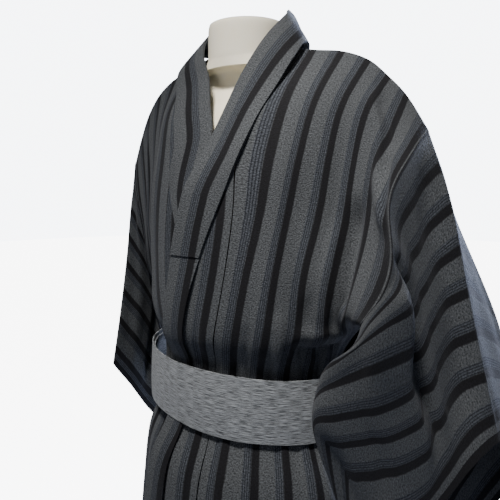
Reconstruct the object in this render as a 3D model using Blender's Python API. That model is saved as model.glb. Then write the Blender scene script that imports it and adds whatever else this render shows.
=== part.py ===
# Striped cotton yukata robe, worn left over right and held by a tied obi, on a limbless dress form.
# Front is -Y, the wearer's left is +X, up is +Z, and the base stands on z = 0.
import bpy
import bmesh
import numpy as np

CLOTH = 0.0012            # wall of the cotton panels
COLLAR_WALL = 0.0016      # wall of the doubled collar
COLLAR_LIFT = 0.0062      # how far the collar lies outside the front it is sewn to
OBI_WALL = 0.0022         # wall of the obi
SEAM_GAP = 0.0008         # space left between panels that are sewn together
HEM_HEIGHT = 0.07         # height of the hem above the floor
BACK_WIDTH = 0.34         # centre back seam to sleeve seam, along the cloth
FRONT_WIDTH = 0.268       # okumi seam to sleeve seam, along the cloth
NECK_WIDTH = 0.266        # collar to sleeve seam along the shoulder
SLEEVE_LENGTH = 0.345     # sleeve seam to cuff edge
SLEEVE_DEPTH = 0.49       # top fold to the bottom of the sleeve bag
UNDER_LAP = 0.011         # how far the right front lies inside the left front
OBI_TOP = 0.985
OBI_BOTTOM = 0.915
SIDE_BACK = 95.6          # angle of the back panel's side edge, degrees from the front
BASE_RADIUS = 0.17
BASE_HEIGHT = 0.018
SHOULDER_ROW = 24          # row of a body panel's grid that lies on the shoulder
POLE_RADIUS = 0.0145

# Outline of the left front layer: height, half width, half depth, in cm.
LAYER = np.array([
    [7.0, 22.0, 18.0],
    [35.0, 20.8, 16.8],
    [65.0, 19.2, 15.2],
    [80.0, 18.2, 14.2],
    [86.5, 17.3, 13.2],
    [90.4, 15.4, 11.2],
    [92.3, 14.88, 10.66],
    [98.8, 14.88, 10.66],
    [100.4, 15.6, 11.4],
    [102.6, 16.9, 12.8],
    [106.0, 17.6, 13.5],
    [111.0, 18.0, 13.3],
    [120.0, 18.6, 12.7],
    [125.0, 18.7, 12.1],
    [129.0, 18.7, 11.2],
    [135.0, 18.5, 8.5],
])

# Angles about the body, in degrees from the front towards the side, for one half of the robe:
# height in cm, okumi seam, free front edge, collar seam, side seam.
ANGLES = np.array([
    [7.0, 4.0, -38.0, -20.0, 95.0],
    [35.0, 5.0, -33.0, -18.0, 95.0],
    [65.0, 6.0, -28.0, -14.0, 95.0],
    [80.0, 7.0, -24.0, -10.0, 95.0],
    [92.0, 8.0, -21.0, -8.0, 95.0],
    [98.5, 10.0, -19.0, -5.0, 95.0],
    [104.0, 14.0, -13.0, -1.0, 95.0],
    [109.0, 17.0, -9.5, 2.5, 95.0],
    [113.0, 18.5, -7.5, 6.0, 95.0],
    [120.0, 20.5, -2.0, 14.0, 95.0],
    [123.8, 21.5, 2.0, 18.0, 95.0],
    [129.2, 23.0, 7.0, 21.0, 95.0],
])

LINES = np.array([FRONT_WIDTH, 0.238, 0.192, 0.146, 0.100, 0.054, 0.0])

# Left front above the obi, in cm: a row per level, a point per warp line
# (collar side, four chest lines, armpit line, sleeve seam).
LEFT_FRONT = np.array([
    [[9.0, 0.0, 142.0], [11.5, 0.0, 141.6], [15.6, 0.0, 140.8], [19.3, 0.0, 139.2],
     [21.9, 0.0, 136.8], [24.2, 0.0, 134.2], [26.8, 0.0, 129.8]],
    [[8.6, -8.0, 134.0], [11.6, -6.8, 134.0], [14.6, -5.8, 133.6], [17.6, -4.4, 132.9],
     [20.4, -3.6, 132.0], [23.6, -2.8, 130.2], [26.4, -4.0, 127.4]],
    [[7.2, -10.9, 126.6], [10.9, -9.9, 126.0], [13.8, -8.4, 126.2], [16.9, -6.4, 126.5],
     [19.6, -5.2, 126.0], [22.4, -5.7, 125.0], [25.4, -9.5, 121.8]],
    [[6.6, -12.0, 120.2], [10.0, -10.9, 120.0], [13.0, -9.4, 120.2], [16.2, -7.4, 120.1],
     [19.0, -6.2, 119.6], [21.8, -6.7, 118.6], [26.4, -11.3, 115.6]],
    [[5.6, -12.8, 110.8], [8.4, -12.2, 110.9], [11.8, -10.9, 111.1], [14.8, -9.3, 111.1],
     [17.6, -7.9, 109.8], [19.8, -8.4, 108.8], [23.6, -12.4, 109.2]],
    [[4.4, -13.1, 104.4], [7.2, -12.5, 104.4], [10.8, -11.2, 104.4], [14.0, -9.2, 104.6],
     [16.4, -6.8, 104.8], [17.8, -4.2, 104.8], [18.5, -0.6, 104.8]],
])

# Right front above the obi, in the same order.
RIGHT_FRONT = np.array([
    [[-9.0, 0.0, 142.0], [-11.5, 0.0, 141.4], [-15.4, 0.0, 140.2], [-18.6, -0.3, 137.8],
     [-20.6, -0.5, 134.8], [-22.0, -0.8, 131.4], [-23.5, -1.0, 127.0]],
    [[-8.6, -7.2, 134.2], [-11.0, -6.2, 134.0], [-13.6, -5.4, 133.0], [-16.0, -4.6, 131.4],
     [-17.6, -4.2, 129.6], [-19.2, -4.0, 127.3], [-20.4, -3.9, 124.4]],
    [[-7.2, -9.7, 127.0], [-9.9, -8.9, 126.6], [-12.4, -8.1, 126.0], [-14.2, -7.6, 124.8],
     [-15.4, -7.1, 123.4], [-16.5, -6.9, 121.6], [-17.6, -7.0, 119.4]],
    [[-6.4, -11.0, 120.4], [-9.2, -10.2, 120.0], [-11.4, -9.3, 119.4], [-13.0, -8.4, 118.6],
     [-14.2, -7.9, 117.4], [-15.1, -7.8, 115.8], [-15.9, -8.4, 113.6]],
    [[-5.4, -11.9, 111.0], [-8.2, -11.2, 111.0], [-10.6, -10.1, 110.8], [-12.6, -9.0, 110.2],
     [-14.2, -7.8, 109.4], [-15.5, -6.6, 108.6], [-16.6, -5.2, 107.8]],
    [[-4.2, -12.1, 104.4], [-7.0, -11.5, 104.4], [-10.4, -10.2, 104.4], [-13.2, -8.4, 104.4],
     [-15.4, -6.0, 104.4], [-16.8, -3.6, 104.4], [-17.5, -0.6, 104.4]],
])

BACK_LINES = np.array([BACK_WIDTH, 0.25, 0.16, 0.08, 0.0])

# Left back above the obi, in cm: centre back, three warp lines, sleeve seam.
LEFT_BACK = np.array([
    [[0.04, 1.0, 143.0], [8.3, 0.0, 142.2], [15.9, 0.0, 140.7], [22.9, 0.0, 135.8], [26.8, 0.0, 129.8]],
    [[0.04, 8.2, 142.0], [8.4, 6.4, 140.4], [16.2, 4.8, 138.0], [22.6, 3.8, 133.6], [26.2, 4.6, 126.8]],
    [[0.04, 11.4, 131.0], [9.0, 10.9, 130.6], [16.6, 9.4, 129.6], [22.2, 7.8, 126.6], [25.3, 9.0, 121.2]],
    [[0.04, 12.6, 119.0], [9.0, 12.4, 119.0], [16.6, 11.2, 118.4], [21.2, 9.6, 116.4], [24.4, 10.8, 113.4]],
    [[0.04, 12.8, 109.0], [8.4, 12.7, 109.0], [15.0, 11.7, 108.6], [19.0, 9.4, 107.8], [22.0, 8.2, 106.2]],
    [[0.04, 12.8, 104.0], [7.6, 12.1, 104.0], [13.4, 9.9, 104.0], [17.0, 6.4, 104.2], [18.6, 2.2, 104.6]],
])

# Right back above the obi: only the two outer lines differ from the left.
RIGHT_BACK = LEFT_BACK * [-1.0, 1.0, 1.0]
RIGHT_BACK[:, 3] = [[-21.4, -0.6, 133.4], [-21.2, 3.4, 131.0], [-20.8, 7.6, 125.2],
                    [-19.8, 9.6, 115.6], [-18.2, 9.2, 107.2], [-16.6, 6.2, 104.0]]
RIGHT_BACK[:, 4] = [[-23.5, -1.0, 127.0], [-23.2, 3.6, 124.0], [-22.6, 8.0, 118.8],
                    [-21.8, 9.8, 111.8], [-20.2, 7.8, 105.4], [-17.8, 2.2, 104.4]]

SLEEVE_LINES = np.array([0.0, 0.09, 0.18, 0.27, SLEEVE_LENGTH])
SLEEVE_ROUND = np.array([0.0, 5.0, 12.5, 19.0, 26.0, 34.0, 42.0, 49.0, 57.0, 66.0, 76.0, 86.0, 92.0])

# Left sleeve, in cm: a row per warp line from the sleeve seam to the cuff, and in each row the points
# round the bag: top fold, front (three), border, turned under (two), bottom, back (five).
LEFT_SLEEVE = np.array([
    [[26.8, 0.0, 129.8], [26.4, -4.0, 127.4], [25.4, -9.5, 121.8], [26.4, -11.3, 115.6], [23.6, -12.4, 109.2],
     [22.0, -9.4, 102.5], [21.4, -4.6, 96.0], [21.8, 0.6, 92.0], [22.4, 5.6, 96.4],
     [23.0, 9.0, 104.5], [24.4, 10.8, 113.4], [25.3, 9.0, 121.2], [26.2, 4.6, 126.8]],
    [[29.2, 0.0, 120.6], [27.6, -4.4, 117.0], [26.7, -7.5, 114.4], [28.0, -10.2, 111.5], [24.7, -13.4, 108.0],
     [18.6, -12.2, 101.2], [20.6, -5.4, 91.0], [22.0, 1.0, 84.6], [23.4, 6.6, 90.0],
     [25.4, 11.6, 98.0], [28.2, 13.6, 107.0], [29.0, 10.0, 114.6], [28.8, 4.6, 118.8]],
    [[30.9, 0.0, 111.2], [29.1, -3.9, 108.9], [27.7, -6.6, 105.1], [27.1, -8.9, 101.6], [23.8, -11.9, 99.7],
     [18.3, -13.0, 97.4], [19.8, -7.0, 85.4], [21.6, 1.2, 77.6], [24.0, 7.4, 83.4],
     [27.0, 13.0, 91.0], [31.2, 14.8, 99.4], [32.2, 10.4, 106.6], [31.0, 4.6, 110.0]],
    [[32.7, 0.0, 102.2], [30.2, -3.3, 100.0], [29.3, -5.6, 97.5], [28.0, -7.1, 94.5], [24.3, -9.6, 92.6],
     [19.7, -11.0, 92.0], [20.2, -6.6, 77.4], [22.2, 1.4, 69.8], [25.0, 8.0, 76.0],
     [28.4, 13.4, 83.6], [33.0, 14.6, 91.6], [34.4, 9.6, 98.4], [33.2, 4.2, 101.2]],
    [[34.4, 0.0, 94.9], [32.5, -3.0, 93.1], [30.5, -4.9, 90.1], [27.8, -5.9, 86.2], [24.2, -7.9, 83.5],
     [19.7, -9.5, 81.3], [21.2, -6.0, 69.6], [23.4, 1.6, 62.6], [26.4, 8.2, 69.4],
     [30.2, 13.2, 76.8], [34.8, 13.8, 84.8], [36.4, 8.8, 91.8], [35.2, 3.6, 94.4]],
])

# Right sleeve, in the same order.
RIGHT_SLEEVE = np.array([
    [[-23.5, -1.0, 127.0], [-19.4, -4.8, 124.8], [-14.6, -10.0, 121.4], [-9.9, -12.8, 118.2], [-6.9, -13.1, 113.0],
     [-10.2, -11.2, 107.6], [-14.2, -9.0, 100.4], [-18.6, -4.6, 95.2], [-20.8, 1.6, 96.6],
     [-20.8, 7.6, 104.2], [-21.8, 9.8, 111.8], [-22.6, 8.0, 118.8], [-23.2, 3.6, 124.0]],
    [[-22.8, -3.0, 118.2], [-19.0, -6.4, 117.8], [-13.4, -11.6, 114.4], [-8.4, -14.2, 111.6], [-4.6, -13.8, 107.8],
     [-8.6, -12.2, 102.8], [-14.6, -9.2, 98.6], [-19.0, -5.2, 92.6], [-21.8, 0.6, 93.4],
     [-23.4, 7.0, 98.4], [-24.0, 9.6, 106.6], [-24.2, 7.0, 113.2], [-23.6, 2.4, 117.2]],
    [[-22.3, -4.4, 109.4], [-19.4, -7.0, 108.8], [-13.4, -11.8, 107.6], [-8.0, -14.7, 105.2], [-4.2, -13.9, 102.2],
     [-8.2, -12.2, 97.2], [-14.4, -9.6, 92.0], [-19.2, -5.8, 86.2], [-22.2, -0.2, 85.4],
     [-24.6, 6.0, 89.6], [-25.4, 9.0, 98.0], [-25.0, 6.0, 104.8], [-23.6, 1.2, 108.6]],
    [[-21.8, -6.2, 100.6], [-18.8, -8.6, 100.0], [-13.2, -12.2, 98.8], [-8.4, -14.8, 97.2], [-4.8, -14.2, 94.8],
     [-8.8, -12.4, 90.0], [-14.6, -10.0, 84.4], [-19.6, -6.8, 78.8], [-22.8, -1.2, 78.0],
     [-25.6, 5.0, 81.6], [-26.4, 8.2, 90.0], [-25.6, 4.8, 96.2], [-23.6, -0.2, 99.8]],
    [[-21.5, -7.8, 93.2], [-18.4, -10.1, 92.8], [-12.8, -12.8, 92.2], [-9.0, -14.8, 91.2], [-5.8, -14.4, 89.6],
     [-9.4, -12.4, 83.4], [-15.0, -10.6, 77.4], [-20.0, -7.8, 71.8], [-23.4, -2.2, 71.0],
     [-26.6, 4.0, 74.6], [-27.2, 7.4, 82.6], [-26.2, 3.8, 88.6], [-23.6, -1.6, 92.4]],
])

# Left half of the collar from the centre back to the V, in cm: free edge, sewn edge.
LEFT_COLLAR = np.array([
    [[0.0, 7.6, 147.6], [0.0, 9.6, 142.9]],
    [[4.2, 6.9, 148.4], [5.2, 8.9, 143.3]],
    [[6.4, 3.6, 148.8], [8.4, 5.6, 143.9]],
    [[6.9, -0.2, 147.2], [9.9, 0.6, 143.6]],
    [[5.9, -4.0, 143.2], [10.2, -4.2, 140.6]],
    [[4.1, -6.6, 138.2], [9.4, -7.4, 136.3]],
    [[2.6, -8.3, 134.4], [8.4, -9.6, 132.4]],
    [[1.4, -10.3, 129.6], [7.2, -11.3, 127.6]],
])
RIGHT_COLLAR = np.array([
    [[0.0, 7.6, 147.6], [0.0, 9.6, 142.9]],
    [[-4.2, 6.9, 148.2], [-5.2, 8.9, 143.3]],
    [[-6.2, 3.6, 148.2], [-8.4, 5.6, 143.7]],
    [[-6.5, -0.2, 146.6], [-9.9, 0.6, 143.4]],
    [[-5.5, -4.2, 142.6], [-10.0, -4.2, 140.4]],
    [[-3.4, -6.6, 138.0], [-9.2, -7.1, 135.9]],
    [[-1.6, -8.2, 134.2], [-8.0, -9.3, 131.8]],
    [[0.8, -9.8, 129.2], [-6.6, -10.7, 127.4]],
])
# Below the V the collar lies flat on the front: height in cm, free edge angle, sewn edge angle.
COLLAR_FRONT = np.array([
    [121.5, -3.0, 15.5],
    [114.0, -7.5, 7.0],
    [108.0, -10.5, 2.0],
    [103.0, -14.0, -1.5],
    [98.5, -18.5, -5.0],
    [92.0, -21.0, -8.0],
    [86.0, -22.5, -9.5],
    [80.0, -24.0, -11.0],
])

# Dress form: height, half width, half depth, in cm.
FORM = np.array([
    [72.0, 14.6, 10.2],
    [73.0, 15.6, 11.2],
    [80.0, 16.4, 12.2],
    [86.0, 15.0, 10.8],
    [90.5, 12.8, 8.6],
    [100.0, 12.8, 8.6],
    [105.0, 14.2, 10.0],
    [112.0, 15.8, 10.9],
    [120.0, 16.6, 10.5],
    [127.0, 17.0, 9.4],
    [132.0, 17.0, 7.4],
    [135.2, 16.9, 5.2],
    [137.36, 16.2, 3.7],
    [138.52, 14.5, 3.7],
    [139.26, 11.8, 3.8],
    [139.76, 9.0, 4.8],
])
NECK = np.array([
    [139.80, 7.2, 5.75],
    [141.0, 6.2, 5.75],
    [142.0, 5.9, 5.8],
    [145.6, 5.85, 5.85],
    [146.6, 5.7, 5.7],
])


def curve(xs, ys, at):
    """Smooth curve through rows ys at xs, read at the places at."""
    xs = np.asarray(xs, float)
    ys = np.asarray(ys, float)
    if xs[0] > xs[-1]:
        xs = xs[::-1]
        ys = ys[::-1]
    gap = np.diff(xs).reshape((-1,) + (1,) * (ys.ndim - 1))
    rise = np.diff(ys, axis=0) / gap
    slope = np.gradient(ys, xs, axis=0)
    least = np.minimum(np.abs(rise[:-1]), np.abs(rise[1:]))
    limit = np.where(rise[:-1] * rise[1:] > 0, 2.5 * least, least)
    slope[1:-1] = np.clip(slope[1:-1], -limit, limit)
    at = np.clip(np.asarray(at, float), xs[0], xs[-1])
    i = np.clip(np.searchsorted(xs, at, side="right") - 1, 0, len(xs) - 2)
    h = xs[i + 1] - xs[i]
    t = (at - xs[i]) / h
    wide = (...,) + (None,) * (ys.ndim - 1)
    a = (2 * t**3 - 3 * t**2 + 1)[wide]
    b = ((t**3 - 2 * t**2 + t) * h)[wide]
    c = (3 * t**2 - 2 * t**3)[wide]
    d = ((t**3 - t**2) * h)[wide]
    return a * ys[i] + b * slope[i] + c * ys[i + 1] + d * slope[i + 1]


def layer_point(z, angle, off=0.0):
    """Point of the front layer at height z (m) and angle (degrees), moved out by off."""
    half = curve(LAYER[:, 0] / 100, LAYER[:, 1:] / 100, z)
    a = np.radians(angle)
    x = (half[..., 0] + off) * np.sin(a)
    y = -(half[..., 1] + off) * np.cos(a)
    return np.stack([x, y, np.broadcast_to(z, x.shape)], axis=-1)


def thicken(name, mid, wall, loop=False):
    """Closed solid of even wall about a grid of points; loop joins the second direction round."""
    n, m = mid.shape[:2]
    if loop:
        across = np.roll(mid, -1, 1) - np.roll(mid, 1, 1)
    else:
        across = np.gradient(mid, axis=1)
    normal = np.cross(np.gradient(mid, axis=0), across)
    normal /= np.linalg.norm(normal, axis=2, keepdims=True) + 1e-12
    points = np.concatenate([(mid + normal * wall / 2).reshape(-1, 3), (mid - normal * wall / 2).reshape(-1, 3)])
    faces = []
    steps = m if loop else m - 1
    back = n * m
    for i in range(n - 1):
        for j in range(steps):
            k = (j + 1) % m
            a, b, c, d = i * m + j, i * m + k, (i + 1) * m + k, (i + 1) * m + j
            faces.append((a, b, c, d))
            faces.append((d + back, c + back, b + back, a + back))
    for j in range(steps):
        k = (j + 1) % m
        faces.append((k, j, j + back, k + back))
        e = (n - 1) * m
        faces.append((e + j, e + k, e + k + back, e + j + back))
    if not loop:
        for i in range(n - 1):
            a, b = i * m, (i + 1) * m
            faces.append((a, b, b + back, a + back))
            a, b = i * m + m - 1, (i + 1) * m + m - 1
            faces.append((b, a, a + back, b + back))
    return solid(name, points, faces)


def solid(name, points, faces):
    """Object of these points and faces, triangulated, with its faces turned outwards."""
    mesh = bpy.data.meshes.new(name)
    mesh.from_pydata([tuple(p) for p in points], [], faces)
    work = bmesh.new()
    work.from_mesh(mesh)
    bmesh.ops.triangulate(work, faces=work.faces)
    bmesh.ops.recalc_face_normals(work, faces=work.faces)
    work.to_mesh(mesh)
    work.free()
    obj = bpy.data.objects.new(name, mesh)
    bpy.context.collection.objects.link(obj)
    return obj


def rings(name, table, around, squash=1.0):
    """Closed body of elliptical sections: rows of height, half width, half depth, in metres."""
    points = []
    faces = []
    for z, a, b in table:
        for k in range(around):
            t = 2 * np.pi * k / around
            points.append((a * np.sin(t), -b * np.cos(t) * squash, z))
    n = len(table)
    for i in range(n - 1):
        for k in range(around):
            j = (k + 1) % around
            faces.append((i * around + k, i * around + j, (i + 1) * around + j, (i + 1) * around + k))
    faces.append(tuple(range(around))[::-1])
    faces.append(tuple((n - 1) * around + k for k in range(around)))
    return solid(name, points, faces)


def paint(obj, name, color, roughness):
    """Give the object one plain material."""
    material = bpy.data.materials.new(name)
    material.use_nodes = True
    shader = material.node_tree.nodes["Principled BSDF"]
    shader.inputs["Base Color"].default_value = (*color, 1)
    shader.inputs["Roughness"].default_value = roughness
    obj.data.materials.append(material)
    return obj


def net(rows, columns, table, at_rows, at_columns):
    """Smooth surface through a table of points, read at matching arrays of row and column places."""
    order = np.argsort(columns)
    columns = np.asarray(columns)[order]
    table = table[:, order]
    out = np.empty((len(at_rows), at_columns.shape[1], 3))
    by_row = curve(rows, table, at_rows)
    for i in range(len(at_rows)):
        out[i] = curve(columns, by_row[i], at_columns[i])
    return out


def front_rows(table, side, off):
    """All levels of a front panel from the hem up to the shoulder: points at its warp lines."""
    levels = np.array([HEM_HEIGHT, 0.20, 0.35, 0.50, 0.65, 0.78, 0.86, 0.905, 0.925, 0.955, 0.985])
    seam = curve(ANGLES[:, 0] / 100, ANGLES[:, 1:], levels)
    low = []
    for z, s in zip(levels, seam):
        angle = s[0] + (s[3] - s[0]) * (1 - LINES / FRONT_WIDTH)
        low.append(layer_point(np.full(len(LINES), z), angle * side, off))
    return np.concatenate([np.array(low), table[::-1] / 100])


def back_rows(table, side, off):
    """All levels of a back panel from the shoulder down to the hem: points at its warp lines."""
    levels = np.array([0.985, 0.955, 0.925, 0.905, 0.86, 0.78, 0.65, 0.50, 0.35, 0.20, HEM_HEIGHT])
    low = []
    for z in levels:
        angle = 180 - (180 - SIDE_BACK) * (1 - BACK_LINES / BACK_WIDTH)
        row = layer_point(np.full(len(BACK_LINES), z), angle * side, off)
        row[0, 0] = 0.0004 * side
        low.append(row)
    return np.concatenate([table / 100, np.array(low)])


def places(points):
    """Distance along the mean line of a table of points, row by row."""
    step = np.linalg.norm(np.diff(points.mean(axis=1), axis=0), axis=1)
    return np.concatenate([[0.0], np.cumsum(step)])


def body_panel(front_table, back_table, side, off):
    """Grid of one body panel, from the front hem over the shoulder to the back hem."""
    front = front_rows(front_table, side, off)
    back = back_rows(back_table, side, off)
    wide = np.linspace(0.0, 1.0, 13)
    at_front = places(front)
    at_back = places(back)
    f_rows = np.concatenate([np.linspace(0, at_front[6], 6)[:-1], np.linspace(at_front[6], at_front[-1], 20)])
    b_rows = np.concatenate([np.linspace(0, at_back[-5], 18), np.linspace(at_back[-5], at_back[-1], 6)[1:]])
    f_inner = np.interp(f_rows, [at_front[-3], at_front[-1]], [FRONT_WIDTH - SEAM_GAP, NECK_WIDTH])
    b_inner = np.interp(b_rows, [0, 0.03, 0.06], [NECK_WIDTH, BACK_WIDTH - 0.025, BACK_WIDTH])
    f_grid = net(at_front, LINES, front, f_rows, f_inner[:, None] * wide)
    b_grid = net(at_back, BACK_LINES, back, b_rows, b_inner[:, None] * wide)
    return np.concatenate([f_grid, b_grid[1:]])


def okumi_panel(front, side, off):
    """Grid of one overlap panel: from the okumi seam, the front panel's inner edge, to the front edge."""
    at = places(front)
    seam = curve(at, front[:, 0], np.linspace(0, at[-1], 400))
    heights = np.concatenate([np.linspace(HEM_HEIGHT, 0.86, 7)[:-1], np.linspace(0.86, 1.272, 19)])
    s = curve(ANGLES[:, 0] / 100, ANGLES[:, 1:], heights)
    inner = s[:, 1] + (np.minimum(s[:, 2] - 2.0, s[:, 0] - 2.2) - s[:, 1]) * np.clip((heights - 0.86) / 0.09, 0, 1)
    sewn = np.stack([np.interp(heights, seam[:, 2], seam[:, k]) for k in range(3)], axis=1)
    half = curve(LAYER[:, 0] / 100, LAYER[:, 1:] / 100, heights) + off
    outer = np.degrees(np.arctan2(sewn[:, 0] * side / half[:, 0], -sewn[:, 1] / half[:, 1])) - 0.35
    t = np.linspace(0.0, 1.0, 6)
    angle = outer[:, None] + (inner - outer)[:, None] * t
    grid = layer_point(np.broadcast_to(heights[:, None], angle.shape), angle * side, off)
    bend = sewn - layer_point(heights, (outer + 0.35) * side, off)
    return grid + bend[:, None] * ((1 - t) ** 2)[None, :, None]


def armhole(panel, shoulder):
    """Sleeve seam of a body panel: its outer edge from the shoulder down the front and down the back, by length."""
    edges = []
    for points in (panel[:shoulder + 1, 0][::-1], panel[shoulder:, 0]):
        length = np.concatenate([[0.0], np.cumsum(np.linalg.norm(np.diff(points, axis=0), axis=1))])
        edges.append((length, points))
    return edges


def sleeve_grid(table, edges, sewn_front, n=12, m=48):
    """Grid of one sleeve bag, from its seam to the cuff, sewn to the front over the length sewn_front."""
    lines = np.linspace(0.0, SLEEVE_LENGTH, n)
    lines[0] = SEAM_GAP
    round_at = np.concatenate([SLEEVE_ROUND[-3:] - 98.0, SLEEVE_ROUND, SLEEVE_ROUND[:3] + 98.0]) / 100
    at = np.linspace(0, 0.98, m, endpoint=False)

    def bag(places_along):
        by_line = curve(SLEEVE_LINES, table / 100, places_along)
        looped = np.concatenate([by_line[:, -3:], by_line, by_line[:, :3]], axis=1)
        return np.stack([curve(round_at, row, at) for row in looped])

    grid = bag(lines)
    first = bag(np.array([0.0]))[0]
    shift = np.zeros_like(first)
    for (length, points), away, sewn_to in zip(edges, (at, 0.98 - at), (sewn_front, 0.27)):
        sewn = np.clip((sewn_to - away) / 0.04, 0, 1)
        target = np.stack([np.interp(away, length, points[:, k]) for k in range(3)], axis=1)
        shift += (target - first) * sewn[:, None] * np.where(away == at, 1.0, (at > 0)[:])[:, None]
    fade = np.clip(1 - (lines - SEAM_GAP) / 0.06, 0, 1) ** 2
    side = np.sign(table[0, 0, 0])
    front = np.sin(np.pi * np.clip(at / (0.14 + 0.74 * sewn_front), 0, 1))[:, None]
    behind = np.sin(np.pi * np.clip((0.98 - at) / 0.34, 0, 1))[:, None]
    shift += front * np.array([0.0045 * side, -0.0035, 0.0]) + behind * np.array([0.0030 * side, 0.0026, 0.0])
    return grid + shift * fade[:, None, None]


def collar_half(table, side, off):
    """Points of half the collar, from the centre back to its front end: free edge and sewn edge."""
    heights = np.linspace(COLLAR_FRONT[0, 0], COLLAR_FRONT[-1, 0], 24) / 100
    angles = curve(COLLAR_FRONT[:, 0] / 100, COLLAR_FRONT[:, 1:], heights) * side
    seated = off - (COLLAR_LIFT - 0.0021) * np.clip((heights - 1.10) / 0.04, 0, 1)
    half = curve(LAYER[:, 0] / 100, LAYER[:, 1:] / 100, heights)
    turn = np.radians(angles[:, 1])
    sewn = np.stack([(half[:, 0] + seated) * np.sin(turn), -(half[:, 1] + seated) * np.cos(turn), heights], axis=1)
    low = np.stack([layer_point(heights, angles[:, 0], off), sewn], axis=1)
    return np.concatenate([table / 100, low])


def collar_grid(lift=0.0, left_end=None, right_end=None):
    """Grid of the collar from its left front end round the neck to its right front end, or part of it."""
    left = collar_half(LEFT_COLLAR, 1, COLLAR_LIFT)
    right = collar_half(RIGHT_COLLAR, -1, COLLAR_LIFT - UNDER_LAP)
    line = np.concatenate([left[::-1], right[1:]])
    at = places(line)
    n = int(round(at[-1] / 0.024)) + 1
    rows = curve(at, line, np.linspace(0, at[-1], n))
    t = np.linspace(0.0, 1.0, 4)[None, :, None]
    grid = rows[:, :1] * (1 - t) + rows[:, 1:] * t
    normal = np.cross(np.gradient(grid, axis=0), np.gradient(grid, axis=1))
    normal /= np.linalg.norm(normal, axis=2, keepdims=True)
    away = grid * [1.0, 1.0, 0.0]
    normal *= np.sign((normal * away).sum(axis=2).sum())
    grid = grid + normal * lift
    if left_end is None:
        return grid
    height = grid[:, 0, 2]
    middle = n // 2
    first = next(i for i in range(n) if height[i] > left_end)
    last = next(i for i in range(n - 1, middle, -1) if height[i] > right_end)
    return grid[first:last + 1]


def band(z_low, z_high, half_width, half_depth, start, turn, steps, rows, rise=0.0):
    """Grid of a belt round the waist."""
    t = np.linspace(0, 1, steps)
    a = np.radians(start + turn * t)
    out = np.empty((rows, steps, 3))
    for i, f in enumerate(np.linspace(0, 1, rows)):
        out[i, :, 0] = half_width * np.sin(a)
        out[i, :, 1] = -half_depth * np.cos(a)
        out[i, :, 2] = z_low + (z_high - z_low) * f + rise * np.cos(a)
    return out


def sheet_grid(path, across, half):
    """Grid of a strip: a path of centre points, widened by half to each side along across."""
    path = np.array(path, float) / 100
    side = np.array(across, float)
    side /= np.linalg.norm(side)
    at = np.concatenate([[0.0], np.cumsum(np.linalg.norm(np.diff(path, axis=0), axis=1))])
    line = curve(at, path, np.linspace(0, at[-1], 2 * len(path) + 3))
    t = np.linspace(-1.0, 1.0, 4)
    return line[:, None] + side * half * t[:, None]


def knot_pieces():
    """The flat knot at the back: a wrap over the band, a raised folded end and a lowered loop."""
    wrap = sheet_grid([[0.8, 11.9, 100.0], [0.7, 12.19, 98.6], [0.4, 12.19, 95.5], [0.1, 12.19, 92.6],
                       [-0.3, 12.15, 90.8], [-0.6, 11.9, 89.8]], [1.0, 0.0, 0.14], 0.038)
    raised = sheet_grid([[-3.6, 12.46, 93.8], [-1.6, 12.46, 95.4], [0.6, 12.5, 97.2], [3.0, 13.0, 99.4],
                         [5.6, 14.2, 101.8], [8.4, 14.6, 104.4]], [0.66, 0.0, -0.75], 0.045)
    loop = sheet_grid([[1.2, 13.22, 96.4], [-2.5, 13.24, 95.6], [-6.5, 13.1, 94.6], [-10.2, 12.3, 93.4],
                       [-12.4, 11.9, 92.6], [-12.2, 12.9, 92.5], [-7.6, 14.3, 93.8], [-1.4, 14.7, 95.4]],
                      [0.12, 0.0, 1.0], 0.043)
    return [("obi_knot_wrap", wrap), ("obi_knot_end", raised), ("obi_knot_loop", loop)]


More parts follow.
